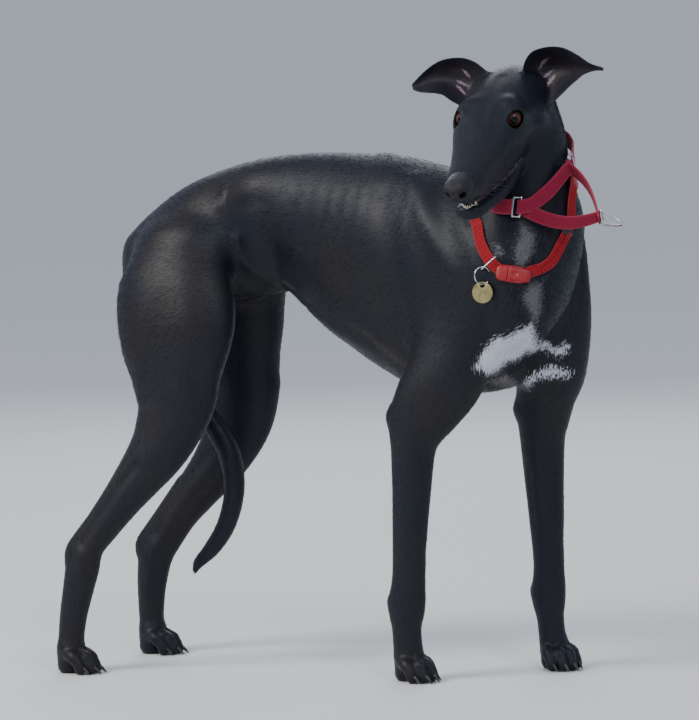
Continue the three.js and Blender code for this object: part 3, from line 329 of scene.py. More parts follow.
HIND_RIGHT = [
    (-236, -52, 612, 40, 66, 66),
    (-236, -78, 560, 44, 82, 90),
    (-228, -93, 512, 43, 88, 94),
    (-227, -103, 469, 38, 82, 86),
    (-225, -110, 428, 34, 68, 70),
    (-222, -116, 392, 31, 58, 62),
    (-234, -122, 352, 29, 48, 54),
    (-252, -128, 320, 27, 43, 45),
    (-275, -134, 288, 25, 36, 38),
    (-304, -141, 251, 22, 30, 31),
    (-331, -147, 215, 20, 26, 26),
    (-352, -152, 184, 19, 23, 26),
    (-362, -154, 155, 19, 26, 26),
    (-370, -155, 122, 18, 24, 23),
    (-378, -155, 85, 17, 21, 21),
    (-383, -155, 50, 17, 20, 19),
    (-382, -155, 30, 18, 20, 19),
]
HIND_LEFT = [
    (-216, 62, 612, 40, 66, 66),
    (-208, 76, 560, 44, 76, 82),
    (-205, 84, 512, 42, 68, 80),
    (-205, 86, 469, 38, 62, 72),
    (-203, 84, 425, 34, 54, 62),
    (-200, 80, 388, 31, 53, 54),
    (-208, 77, 350, 29, 51, 48),
    (-227, 74, 313, 27, 47, 43),
    (-248, 72, 281, 25, 41, 38),
    (-276, 69, 248, 22, 36, 32),
    (-306, 66, 212, 20, 32, 28),
    (-329, 63, 176, 19, 30, 28),
    (-342, 61, 148, 19, 27, 27),
    (-348, 60, 116, 18, 24, 24),
    (-351, 60, 82, 16, 21, 21),
    (-351, 60, 50, 17, 19, 19),
    (-348, 60, 30, 18, 20, 19),
]
HEEL_RIGHT = [(-318, -143, 258, 7), (-352, -150, 216, 7), (-377, -153, 182, 10), (-378, -154, 165, 10)]
HEEL_LEFT = [(-300, 67, 256, 7), (-336, 63, 207, 7), (-362, 61, 170, 10), (-364, 60, 154, 10)]
TAIL = [
    (-314, -8, 592, 19),
    (-332, -9, 560, 18),
    (-318, -10, 505, 16),
    (-290, -10, 450, 16),
    (-250, -10, 398, 16),
    (-214, -10, 352, 16),
    (-190, -10, 312, 17),
    (-182, -10, 270, 16),
    (-186, -10, 232, 15),
    (-199, -10, 198, 14),
    (-220, -10, 168, 12),
    (-242, -10, 146, 8),
    (-249, -10, 130, 2.5),
]
TOES = [(-19, 17), (-7, 28), (7, 28), (19, 17)]  # across, ahead
PAWS = {
    "fore_right": ((136, -118), -26.0),
    "fore_left": ((296, 46), -42.0),
    "hind_right": ((-374, -156), -8.0),
    "hind_left": ((-340, 59), -4.0),
}

# Head frame: x towards the nose, y to the dog's left, z to the top of the skull
OCCIPUT = np.array([277.0, -31.0, 848.0])
HEAD_TURN, HEAD_DIP = math.radians(-90), math.radians(30)
HEAD_SCALE = HEAD_LENGTH / 268.0
HEAD_X = np.array(
    [math.cos(HEAD_TURN) * math.cos(HEAD_DIP), math.sin(HEAD_TURN) * math.cos(HEAD_DIP), -math.sin(HEAD_DIP)]
)
HEAD_Y = unit(np.cross([0, 0, 1], HEAD_X))
HEAD_Z = np.cross(HEAD_X, HEAD_Y)
HEAD_AXES = np.array([HEAD_X, HEAD_Y, HEAD_Z])


def head_way(v):
    return np.asarray(v, float) @ HEAD_AXES


def on_head(v):
    return OCCIPUT + head_way(v) * HEAD_SCALE


def to_head(p):
    return (p - OCCIPUT) @ HEAD_AXES.T / HEAD_SCALE


def head_row(x, z, *radii, y=0.0):
    return (*on_head((x, y, z)), *[r * HEAD_SCALE for r in radii])


SKULL = [
    head_row(12, 0, 36, 26, 34),
    head_row(38, 0, 49, 35, 46),
    head_row(72, 0, 55, 39, 50),
    head_row(104, 0, 53, 37, 51),
    head_row(134, 0, 46, 32, 56),
    head_row(165, -2, 38, 25, 53),
    head_row(200, -5, 31, 20, 42),
    head_row(232, -6, 26, 17, 32),
    head_row(250, -8, 20, 14, 22),
]
JAW = [
    head_row(66, -40, 37, 18, 20),
    head_row(105, -48, 37, 14, 18),
    head_row(140, -58, 34, 11, 15),
    head_row(180, -59, 30, 10, 13.5),
    head_row(215, -53.5, 25, 10, 13),
    head_row(246, -46, 19, 8.5, 12),
]
NOSE = [head_row(252, 2, 17, 13, 13), head_row(266, 1, 19, 14, 15), head_row(271, 0, 16, 11, 13)]
EYE_AT = (118, 33, 15)
EYE_WAY = (0.78, 0.56, 0.28)


def eye_frame(side):
    centre = on_head((EYE_AT[0], side * EYE_AT[1], EYE_AT[2]))
    out = unit(head_way((EYE_WAY[0], side * EYE_WAY[1], EYE_WAY[2])))
    slit = square(head_way((0.75, -side * 0.55, -0.36)), out)
    return centre, out, slit, np.cross(out, slit)


EARS = {
    "right": [
        ((262, -74, 850), (222, -90, 812), 14),
        ((249, -78, 863), (203, -94, 822), 20),
        ((231, -80, 877), (190, -95, 831), 22),
        ((209, -82, 883), (181, -98, 834), 20),
        ((182, -86, 879), (171, -100, 835), 13),
        ((161, -92, 865), (158, -100, 836), 7),
        ((144, -98, 847), (147, -100, 839), 2),
    ],
    "left": [
        ((304, -74, 846), (338, -78, 812), 14),
        ((303, -76, 868), (355, -78, 826), 24),
        ((315, -78, 888), (370, -77, 840), 30),
        ((339, -80, 896), (382, -76, 850), 26),
        ((364, -84, 895), (392, -78, 857), 17),
        ((387, -88, 885), (404, -84, 861), 9),
        ((407, -92, 873), (415, -90, 863), 4),
        ((426, -94, 867), (427, -94, 863), 1),
    ],
}
EAR_BACK = unit([-0.37, 0.93, 0])
EAR_THICK = 3.2
EAR_FOLD_HIGHLIGHTS = [(0.30, 0.16, 0.46), (0.52, 0.10, 0.40), (0.72, 0.04, 0.36)]  # painted highlights along the ear's folds: column, from row, to row


class Ear:
    """A cupped flap: distance to a sheet laid between its two rims."""

    REACH = 24.0
    CELL = 3.0

    def __init__(self, rows, across=30, steps=18):
        flat = smooth([(*a, *b, d) for a, b, d in rows], steps)
        t = np.linspace(0, 1, across + 1)[None, :, None]
        back = EAR_BACK * (4 * t * (1 - t)) * flat[:, None, 6:7]
        self.grid = flat[:, None, :3] * (1 - t) + flat[:, None, 3:6] * t + back
        self.down, self.over = np.gradient(self.grid, axis=0), np.gradient(self.grid, axis=1)
        self.normals = unit(np.cross(self.down, self.over))
        points = self.grid.reshape(-1, 3)
        tree = KDTree(len(points))
        for i, point in enumerate(points):
            tree.insert(point, i)
        tree.balance()
        self.low, self.high = points.min(0) - self.REACH, points.max(0) + self.REACH
        cells = np.ceil((self.high - self.low) / self.CELL).astype(int) + 1
        corners = np.stack(np.meshgrid(*[np.arange(n) for n in cells], indexing="ij"), -1).reshape(-1, 3)
        nearest = np.array([tree.find(c)[1] for c in self.low + corners * self.CELL])
        self.start = nearest.reshape(cells)

    def between(self, table, i, j):
        """Values of a table at broken rows and columns."""
        i0 = np.minimum(i.astype(int), table.shape[0] - 2)
        j0 = np.minimum(j.astype(int), table.shape[1] - 2)
        u, v = (i - i0)[:, None], (j - j0)[:, None]
        top = table[i0, j0] * (1 - v) + table[i0, j0 + 1] * v
        return top * (1 - u) + (table[i0 + 1, j0] * (1 - v) + table[i0 + 1, j0 + 1] * v) * u

    def foot(self, p):
        """The place on the sheet under each point: row, column, and the way from it to the point."""
        cell = np.round((p - self.low) / self.CELL).astype(int)
        first = self.start[tuple(cell.T)]
        rows, columns = self.grid.shape[:2]
        i, j = (first // columns).astype(float), (first % columns).astype(float)
        for _ in range(4):
            r = p - self.between(self.grid, i, j)
            a, b = self.between(self.down, i, j), self.between(self.over, i, j)
            aa, bb, ab = (a * a).sum(1), (b * b).sum(1), (a * b).sum(1)
            ra, rb = (r * a).sum(1), (r * b).sum(1)
            det = aa * bb - ab * ab + 1e-6
            i = np.clip(i + np.clip((ra * bb - rb * ab) / det, -4, 4), 0, rows - 1.001)
            j = np.clip(j + np.clip((rb * aa - ra * ab) / det, -4, 4), 0, columns - 1.001)
        return i, j, p - self.between(self.grid, i, j)

    def __call__(self, points):
        out = np.full(len(points), self.REACH)
        box = np.flatnonzero(((points > self.low) & (points < self.high)).all(1))
        if len(box):
            _, j, r = self.foot(points[box])
            t = j / (self.grid.shape[1] - 1)
            thick = EAR_THICK / 2 * np.clip(0.62 + 2.4 * np.minimum(t, 1 - t), 0.5, 1.0)
            out[box] = np.linalg.norm(r, axis=1) - thick
        return out


def paw(name):
    (x, y), turn = PAWS[name]
    ahead = np.array([math.cos(math.radians(turn)), math.sin(math.radians(turn)), 0.0])
    left = np.array([-ahead[1], ahead[0], 0.0])

    def at(a, l, z):
        return np.array([x, y, z]) + ahead * a + left * l

    toes = [
        rope(
            [
                (*at(-6, across * 0.7, 28), 11),
                (*at(forth - 12, across * 0.98, 25), 10.4),
                (*at(forth - 4, across * 1.02, 18), 9.2),
                (*at(forth + 1, across * 1.06, 8.6), 8.6),
            ]
        )
        for across, forth in TOES
    ]
    heel = Limb([(*at(-10, 0, 34), 20, 20, 20), (*at(-12, 0, 12), 20, 18, 18)], front=ahead)
    return soft(1.6, *toes, heel), at


trunk = Limb(TRUNK, front=(0, 0, 1), steps=10)
neck = Limb(NECK, front=(0.5, -0.87, 0), steps=10)
legs = {
    "fore_right": soft(14, Limb(FORE_RIGHT), ball((119, -116, 378), 15)),
    "fore_left": soft(14, Limb(FORE_LEFT), ball((251, 43, 376), 14)),
    "hind_right": soft(10, Limb(HIND_RIGHT), rope(HEEL_RIGHT)),
    "hind_left": soft(10, Limb(HIND_LEFT), rope(HEEL_LEFT)),
}
paws = {name: paw(name)[0] for name in PAWS}
tail = rope(TAIL)
brisket = rope([(120, -16, 452, 34), (190, -26, 444, 32), (240, -26, 436, 25), (272, -16, 436, 16)])
ears = {side: Ear(rows) for side, rows in EARS.items()}
skull_core = Limb(SKULL, front=HEAD_Z, steps=8, power=2.2)
jaw = Limb(JAW, front=HEAD_Z, steps=6, power=2.3)
nose = Limb(NOSE, front=HEAD_Z, power=2.3)


def body_field(p):
    """Trunk, legs, paws, tail and neck."""
    t = melt(trunk(p), brisket(p), 24)
    whole = melt(melt(t, neck(p), 46), skull_core(p), 22)
    for name, leg in legs.items():
        limb = melt(leg(p), paws[name](p), 8)
        whole = np.minimum(whole, melt(t, limb, 36))
    whole = melt(whole, melt(t, tail(p), 20), 6)
    whole = np.maximum(whole, -p[:, 2])
    return whole + COAT_DEPTH


def head_ball(x, y, z, r):
    return ball(on_head((x, y, z)), r * HEAD_SCALE)


def head_field(p, flap=0.0):
    """Skull, jaw, nose, lids and ears, on the neck. flap thickens the ears while they are meshed."""
    skull = skull_core(p)
    for side in (1, -1):
        centre = eye_frame(side)[0]
        skull = melt(skull, ball(centre, EYE_RADIUS + 3.0)(p), 10)
        skull = melt(skull, head_ball(104, side * 27, 25.5, 10.5)(p), 16)
        skull = melt(skull, head_ball(84, side * 44, -12, 17)(p), 10)
    whole = melt(skull, melt(trunk(p), neck(p), 46), 22)
    whole = melt(whole, jaw(p), 7)
    whole = melt(whole, nose(p), 3)
    for side in ears.values():
        whole = melt(whole, side(p) - flap, 9)
    local = to_head(p)
    for side in (1, -1):
        centre, out, slit, up = eye_frame(side)
        whole = carve(whole, ball(centre, EYE_RADIUS + 0.4)(p), 1.0)
        r = p - centre - out * EYE_RADIUS
        size = np.linalg.norm(r, axis=1) + 1e-6
        share = np.sqrt((r @ slit / 16.8) ** 2 + (r @ up / 10.6) ** 2 + (r @ out / 13) ** 2) + 1e-6
        whole = carve(whole, size - size / share, 1.5)
        q = local - [278, side * 9.5, -1]
        ax = unit([0.7, side * 0.7, -0.1])
        size = np.linalg.norm(q, axis=1) + 1e-6
        a = q @ ax
        share = np.sqrt((a / 7) ** 2 + ((q - a[:, None] * ax) ** 2).sum(1) / 4.4**2) + 1e-6
        whole = carve(whole, size - size / share, 1.5)
    return whole + COAT_DEPTH


# Meshing


BATCH = 200000  # points worked out at once


def nets(field, low, high, h, coarse=4):
    """Surface nets on a grid that is only filled in near the surface."""
    low = np.asarray(low, float)
    n = np.ceil((np.asarray(high, float) - low) / (h * coarse)).astype(int) * coarse
    blocks = n // coarse
    centres = np.stack(np.meshgrid(*[np.arange(b) for b in blocks], indexing="ij"), -1).reshape(-1, 3)
    value = field(low + (centres + 0.5) * h * coarse)
    grid = np.repeat(np.repeat(np.repeat(value.reshape(blocks), coarse, 0), coarse, 1), coarse, 2)
    grid = np.pad(grid, ((0, 1), (0, 1), (0, 1)), mode="edge")
    near = centres[np.abs(value) < h * coarse * 1.7]
    want = np.zeros(n + 1, bool)
    for shift in np.ndindex(coarse + 1, coarse + 1, coarse + 1):
        want[tuple((near * coarse + shift).T)] = True
    nodes = np.argwhere(want)
    for first in range(0, len(nodes), BATCH):
        part = nodes[first : first + BATCH]
        grid[part[:, 0], part[:, 1], part[:, 2]] = field(low + part * h)
    inside = grid < 0
    corners = [(i, j, k) for i in (0, 1) for j in (0, 1) for k in (0, 1)]
    count = sum(inside[i : n[0] + i, j : n[1] + j, k : n[2] + k].astype(np.int8) for i, j, k in corners)
    cells = np.argwhere((count > 0) & (count < 8))
    index = np.full(n, -1)
    index[cells[:, 0], cells[:, 1], cells[:, 2]] = np.arange(len(cells))
    total = np.zeros((len(cells), 3))
    hits = np.zeros(len(cells))
    for a in corners:
        for axis in range(3):
            if a[axis]:
                continue
            b = list(a)
            b[axis] = 1
            fa = grid[tuple((cells + a).T)]
            fb = grid[tuple((cells + b).T)]
            cross = (fa < 0) != (fb < 0)
            t = np.where(cross, fa / np.where(cross, fa - fb, 1), 0)
            point = cells + np.array(a, float)
            point[:, axis] += t
            total += np.where(cross[:, None], point, 0)
            hits += cross
    points = low + total / hits[:, None] * h
    quads = []
    for axis in range(3):
        u, v = (axis + 1) % 3, (axis + 2) % 3
        lower = [slice(0, n[0]), slice(0, n[1]), slice(0, n[2])]
        upper = list(lower)
        upper[axis] = slice(1, n[axis] + 1)
        change = inside[tuple(lower)] != inside[tuple(upper)]
        edges = np.argwhere(change)
        edges = edges[(edges[:, u] > 0) & (edges[:, v] > 0)]
        du, dv = np.zeros(3, int), np.zeros(3, int)
        du[u], dv[v] = 1, 1
        ring = [index[tuple((edges - a).T)] for a in (du * 0, du, du + dv, dv)]
        quad = np.stack(ring, 1)
        flip = inside[tuple(edges.T)]
        quad[~flip] = quad[~flip][:, ::-1]
        quads.append(quad)
    quads = np.concatenate(quads)
    quads = quads[(quads >= 0).all(1)]
    return points, quads


def placed(name, data):
    """Data as an object in the scene, at the origin."""
    obj = bpy.data.objects.new(name, data)
    bpy.context.scene.collection.objects.link(obj)
    return obj


def from_bmesh(name, bm):
    """A finished bmesh as a smooth object."""
    mesh = bpy.data.meshes.new(name)
    bm.to_mesh(mesh)
    bm.free()
    mesh.polygons.foreach_set("use_smooth", [True] * len(mesh.polygons))
    return placed(name, mesh)


def new_object(name, points, faces):
    """A mesh of its own from points and faces."""
    mesh = bpy.data.meshes.new(name)
    mesh.from_pydata(np.asarray(points).tolist(), [], [list(map(int, f)) for f in faces])
    mesh.validate()
    obj = placed(name, mesh)
    mesh.polygons.foreach_set("use_smooth", [True] * len(mesh.polygons))
    return obj


SPLIT_AT = np.array([303.0, -57.0, 722.0])
SPLIT_WAY = unit(HEAD_Z + np.array([0.38, 0, 0]))
FLESH = [
    "torso", "neck", "head", "lower_jaw", "nose", "ear_left", "ear_right", "tail_root", "tail_middle", "tail_tip",
] + [
    f"{part}_{side}"
    for side, parts in {
        "fore_right": ("shoulder", "forearm", "pastern", "paw"),
        "fore_left": ("shoulder", "forearm", "pastern", "paw"),
        "hind_right": ("thigh", "shank", "hock", "paw"),
        "hind_left": ("thigh", "shank", "hock", "paw"),
    }.items()
    for part in parts
]


def halves(bm, points, faces, sign):
    """One side of the split plane, cut clean a little short of it."""
    verts = [bm.verts.new(p) for p in points]
    for f in faces:
        try:
            bm.faces.new([verts[i] for i in f])
        except ValueError:
            pass
    bmesh.ops.bisect_plane(
        bm,
        geom=bm.verts[:] + bm.edges[:] + bm.faces[:],
        plane_co=SPLIT_AT + SPLIT_WAY * sign * 1.5,
        plane_no=SPLIT_WAY * sign,
        clear_inner=True,
        dist=0.02,
    )


# Bones and muscles under the skin: lines of points on the surface, with a radius and a height


def flank(x, z, side):
    """The point of the trunk's side at x and z, on the dog's left (1) or right (-1)."""
    rows = np.array(TRUNK, float)
    y, zc, half, above, below = (np.interp(x, rows[:, 0], rows[:, k]) for k in (1, 2, 3, 4, 5))
    lean = (z - zc) / (above if z > zc else below)
    return (x, y + side * half * math.sqrt(max(1 - lean * lean, 0.02)), z)


def toe_grooves():
    """The clefts between the toes of each paw."""
    grooves = []
    for name in PAWS:
        at = paw(name)[1]
        for across in (-13, 0, 13):
            line = [at(4, across * 0.72, 38), at(16, across * 0.9, 33), at(29, across, 20), at(33, across, 8)]
            grooves.append((line, 3.4, -2.4))
    return grooves


SIDE_FORMS = [  # x and z along the line on each side, then radius and height
    ([(128, 712), (166, 650), (214, 584)], 15, 3.6),  # front edge of the shoulder
    ([(88, 690), (112, 620), (132, 560)], 22, -3.0),  # hollow behind the shoulder
    ([(176, 690), (206, 640), (232, 600)], 12, -1.8),
    ([(150, 560), (158, 500)], 34, 4.0),  # upper arm
    ([(-160, 692), (-176, 676)], 17, 4.0),  # point of the hip
    ([(-128, 672), (-121, 634), (-104, 600)], 27, -6.5),  # hollow of the flank
    ([(-171, 694), (-160, 660), (-150, 624)], 9, 3.4),
    ([(-288, 636), (-300, 612)], 14, 3.0),  # seat bone
]


def body_forms():
    """Ribs, bones and muscles of trunk, legs and neck."""
    forms = []
    for side in (1, -1):
        for rib in range(9):
            x = -78 + rib * 25
            bow = ((34, 702), (30, 660), (16, 600), (4, 545), (2, 505))
            forms.append(([flank(x + ahead, z, side) for ahead, z in bow], 8.5, 0.6))
        for line, radius, height in SIDE_FORMS:
            forms.append(([flank(x, z, side) for x, z in line], radius, height))
    forms.append(([(-149, -56, 624), (-144, -50, 598), (-131, -38, 577), (-106, -24, 561), (-65, -33, 552)], 9, 4.6))
    forms.append(([(-149, 82, 624), (-144, 76, 598), (-131, 62, 577), (-106, 46, 561), (-65, 52, 552)], 9, 4.6))
    for k in range(15):
        x = -230 + k * 24
        middle = float(np.interp(x, [r[0] for r in TRUNK], [r[1] for r in TRUNK]))
        forms.append(([(x, middle, 735)], 9, 1.1))
    forms += [
        ([(66, 0, 742), (72, 0, 742)], 12, 2.4),
        # thighs: the groove behind the long muscle, and the knee
        ([(-232, -140, 590), (-252, -145, 520), (-262, -142, 452), (-262, -140, 400)], 11, -3.2),
        ([(-200, -145, 560), (-196, -142, 480), (-200, -140, 420)], 26, 3.0),
        ([(-160, -128, 436), (-158, -126, 414)], 17, 4.0),
        ([(-215, 122, 570), (-232, 126, 510), (-240, 122, 450)], 11, -3.0),
        ([(-140, 98, 430), (-142, 96, 408)], 16, 3.6),
        # shins: the hollow before the hock tendon, on both sides of it
        ([(-276, -158, 304), (-308, -164, 262), (-338, -168, 222), (-356, -172, 192)], 7.5, -3.4),
        ([(-276, -110, 304), (-308, -118, 262), (-338, -126, 222), (-356, -132, 192)], 7.5, -3.4),
        ([(-250, 100, 300), (-284, 92, 262), (-318, 86, 216), (-336, 84, 182)], 7.5, -3.2),
        ([(-250, 48, 300), (-284, 44, 262), (-318, 42, 216), (-336, 40, 182)], 7.5, -3.2),
        ([(-352, -174, 172), (-360, -175, 152)], 8, 1.8),
        ([(-352, -134, 172), (-360, -135, 152)], 8, 1.6),
        ([(-334, 82, 164), (-342, 81, 146)], 8, 1.8),
        ([(-334, 40, 164), (-342, 39, 146)], 8, 1.6),
        *toe_grooves(),
        # forelegs: wrist, the pad behind it, the tendon groove and the muscle of the forearm
        ([(146, -116, 168), (150, -116, 146), (146, -116, 122)], 12, 2.0),
        ([(101, -117, 114)], 10, 2.6),
        ([(122, -138, 286), (118, -138, 216), (112, -137, 150)], 6, -1.8),
        ([(122, -94, 286), (118, -94, 216), (112, -95, 150)], 6, -1.8),
        ([(140, -142, 352), (144, -143, 310)], 16, 1.8),
        ([(298, 50, 168), (302, 50, 146), (298, 50, 122)], 12, 2.0),
        ([(256, 50, 114)], 10, 2.6),
        ([(262, 26, 286), (264, 28, 216), (262, 30, 150)], 6, -1.8),
        ([(262, 70, 286), (264, 71, 216), (262, 70, 150)], 6, -1.8),
        ([(282, 18, 350), (282, 22, 306)], 16, 1.8),
        # chest: the breastbone's point and the fold beside it
        ([(318, -86, 520), (322, -84, 486)], 20, 4.0),
        ([(308, -52, 545), (306, -42, 505), (298, -34, 470)], 14, -4.2),
        ([(268, -124, 545), (262, -130, 500), (240, -128, 452)], 12, -2.2),
        # neck: the strap muscle and the windpipe beside it
        ([(338, -34, 756), (352, -52, 700), (352, -84, 640), (334, -118, 590)], 13, 2.4),
        ([(350, -74, 752), (362, -84, 700), (358, -104, 650)], 9, -2.2),
    ]
    return forms


def head_forms():
    """Brows, cheekbones, whisker pads and the groove of the nose."""
    forms = []
    for side in (1, -1):
        y = lambda *points: [tuple(on_head((a, side * b, c))) for a, b, c in points]
        forms += [
            (y((130, 42, -4), (104, 52, -6), (74, 57, -10)), 7, 2.2),
            (y((146, 36, -14), (168, 33, -16)), 10, -2.0),
            (y((138, 24, 26), (122, 34, 32), (104, 42, 29)), 7, 1.0),
            (y((92, 40, 22), (74, 46, 18)), 15, -2.0),
            (y((148, 20, 22), (158, 19, 20)), 11, -1.0),
            (y((258, 12, -20), (240, 18, -32), (214, 24, -40)), 3.2, -1.6),
            (y((238, 20, -24), (204, 26, -32), (168, 32, -37)), 6, 1.0),
            (y((30, 40, 8), (44, 48, -4)), 14, 2.4),
        ]
    forms += [
        ([tuple(on_head((x, 0, z))) for x, z in ((48, 40), (84, 42), (120, 37), (150, 27))], 8, -1.1),
        ([tuple(on_head((x, 0, z))) for x, z in ((2, 20), (24, 34), (40, 38))], 9, 1.2),
        ([tuple(on_head((x, 0, z))) for x, z in ((284, 2), (285, -6), (280, -16))], 1.8, -1.4),
    ]
    return forms


def line_distance(p, line):
    """Distance from points to a line of points."""
    line = np.asarray(line, float)
    if len(line) == 1:
        return np.linalg.norm(p - line[0], axis=1)
    best = np.full(len(p), 1e9)
    for a, b in zip(line[:-1], line[1:]):
        way = b - a
        t = np.clip((p - a) @ way / (way @ way), 0, 1)
        best = np.minimum(best, np.linalg.norm(p - a - t[:, None] * way, axis=1))
    return best


def relief(p, forms):
    """How far the forms lift or sink the skin."""
    total = np.zeros(len(p))
    for line, radius, height in forms:
        low, high = np.min(line, axis=0) - 3 * radius, np.max(line, axis=0) + 3 * radius
        near = np.flatnonzero(((p > low) & (p < high)).all(1))
        if len(near):
            total[near] += height * np.exp(-((line_distance(p[near], line) / radius) ** 2))
    return total


# Markings: chains of soft spots on the chest, throat and belly, in model points

SIDE_WAY = (0.927, 0.375)  # the patches are drawn on an upright plane along this way, in millimetres
WHITE = [
    [
        (176, 450), (182, 462), (195, 483), (206, 492), (224, 494), (241, 504), (257, 510), (263, 487), (279, 479),
        (293, 469), (309, 474), (313, 467), (298, 457), (284, 464), (269, 470), (249, 470), (239, 460), (221, 454),
        (207, 439), (194, 439),
    ],
    [(256, 427), (269, 435), (288, 443), (315, 432), (309, 427), (283, 426), (265, 426), (254, 412), (249, 420)],
]
GREY = [
    [(243, 655), (266, 637), (262, 613), (250, 593), (237, 586), (230, 611)],
    [(253, 569), (272, 568), (271, 526), (262, 503), (241, 551)],
    [(203, 626), (219, 623), (217, 606), (205, 608)],
    [(189, 425), (207, 431), (221, 437), (245, 417), (256, 427), (256, 408), (230, 407)],
]
FAINT = [
    [(14, -58, 508, 7), (54, -66, 492, 13), (88, -66, 462, 18), (130, -62, 434, 16)],
    [(14, 50, 508, 7), (54, 56, 492, 13), (88, 56, 462, 18), (130, 40, 434, 16)],
    [(352, -50, 830, 9), (360, -52, 800, 11), (366, -56, 768, 8)],
    [(200, -40, 414, 10), (240, -30, 414, 14), (270, -16, 424, 10)],
]
SCARS = [
    [(-2, -72, 630, 1.6), (10, -75, 622, 2.2)],
    [(-49, -58, 642, 1.4), (-44, -60, 641, 1.4)],
    [(22, -76, 560, 2.2), (34, -77, 549, 2.6)],
    [(118, -108, 588, 1.6), (121, -108, 581, 2.0)],
    [(122, -105, 546, 1.4), (126, -105, 538, 1.6)],
    [(-262, -139, 470, 1.4), (-262, -139, 468, 1.4)],
]


def within(p, chains, soft_edge):
    """How far inside a set of chains [x, y, z, r] the points lie: 1 inside, 0 well outside, 0.5 on the edge."""
    depth = np.full(len(p), -1e3)
    for chain in chains:
        for a, b in zip(chain[:-1], chain[1:]):
            a, b = np.asarray(a, float), np.asarray(b, float)
            way = b[:3] - a[:3]
            t = np.clip((p - a[:3]) @ way / (way @ way + 1e-9), 0, 1)
            r = a[3] + (b[3] - a[3]) * t
            depth = np.maximum(depth, r - np.linalg.norm(p - a[:3] - t[:, None] * way, axis=1))
    return np.clip(0.5 + depth / (2 * soft_edge), 0, 1)


def ramp(x, low, high):
    """0 below low, 1 above high, smooth between."""
    t = np.clip((x - low) / (high - low), 0, 1)
    return t * t * (3 - 2 * t)


def patch(p, normals, outlines, soft_edge):
    """How far inside outlines on the upright plane the points of the chest lie: 0.5 on the edge."""
    flat = np.stack([p[:, 0] * SIDE_WAY[0] + p[:, 1] * SIDE_WAY[1], p[:, 2]], 1)
    depth = np.full(len(p), -1e3)
    near = np.flatnonzero((p[:, 0] > 150) & (p[:, 2] > 380) & (p[:, 2] < 680))
    q = flat[near]
    for outline in outlines:
        outline = np.array(outline, float)
        away, inside = np.full(len(q), 1e3), np.zeros(len(q), bool)
        for a, b in zip(outline, np.roll(outline, -1, axis=0)):
            way = b - a
            s = np.clip((q - a) @ way / (way @ way), 0, 1)
            away = np.minimum(away, np.linalg.norm(q - a - s[:, None] * way, axis=1))
            crosses = (a[1] > q[:, 1]) != (b[1] > q[:, 1])
            inside ^= crosses & (q[:, 0] < way[0] * (q[:, 1] - a[1]) / (way[1] if way[1] else 1e-9) + a[0])
        depth[near] = np.maximum(depth[near], np.where(inside, away, -away))
    facing = ramp(normals @ np.array([SIDE_WAY[1], -SIDE_WAY[0], 0.0]), -0.10, 0.15)
    return np.clip(0.5 + depth / (2 * soft_edge), 0, 1) * facing


def parts(p):
    """Weights of head, legs and tail at model points."""
    above = (p - SPLIT_AT) @ SPLIT_WAY
    on_tail = ramp(-tail(p), -10, -2) * ramp(-p[:, 0], 170, 185)
    legs_share = ramp(-p[:, 2], -520, -430) * (1 - on_tail)
    return ramp(above, -20, 40), legs_share, on_tail


def lie_of_coat(p, normals):
    """The way the hairs point."""
    on_head_share, on_legs, on_tail = parts(p)
    way = np.tile([-0.93, 0.0, -0.36], (len(p), 1))
    neck_share = ramp(p[:, 0], 200, 280) * (1 - on_head_share)
    way = way + neck_share[:, None] * (np.array([-0.25, -0.1, -0.95]) - way)
    way = way + on_legs[:, None] * (np.array([-0.12, 0.0, -1.0]) - way)
    way = way + on_head_share[:, None] * (-HEAD_X - way)
    line = np.array(TAIL, float)[:, :3]
    middle, step = (line[1:] + line[:-1]) / 2, unit(line[1:] - line[:-1])
    tail_points = np.flatnonzero(on_tail > 0)
    if len(tail_points):
        which = np.linalg.norm(p[tail_points, None] - middle[None], axis=2).argmin(1)
        share = on_tail[tail_points][:, None]
        way[tail_points] = way[tail_points] * (1 - share) + step[which] * share
    return square(way, normals)


def bare_skin(p):
    """Nose leather, eye rims and lips: 1 where there are no hairs."""
    local = to_head(p)
    share = ramp(local[:, 0], 249, 254) * ramp(local[:, 2], -21, -15)
    for side in (1, -1):
        centre, out, slit, up = eye_frame(side)
        r = p - centre - out * EYE_RADIUS
        rim = np.sqrt((r @ slit / 17.0) ** 2 + (r @ up / 12.2) ** 2 + (r @ out / 15) ** 2)
        share = np.maximum(share, ramp(-rim, -1.16, -0.98))
    return share * (local[:, 0] > 90)


def lips(p):
    """1 inside the parted lips, fading out over their edges."""
    local = to_head(p)
    between = ramp(-np.maximum(skull_core(p), jaw(p)), -6.0, -2.6) * ramp(local[:, 0], 96, 112)
    return between * ramp(-local[:, 0], -262, -250) * ramp(-local[:, 2], 14, 20)


def chin(p):
    """Pale hairs under the mouth."""
    local = to_head(p)
    below = ramp(-local[:, 2], 44, 58) * ramp(local[:, 2], -110, -90)
    ahead = ramp(local[:, 0], 176, 236) * ramp(-local[:, 0], -300, -285)
    return below * ahead * ramp(-np.abs(local[:, 1]), -46, -34) * 0.60


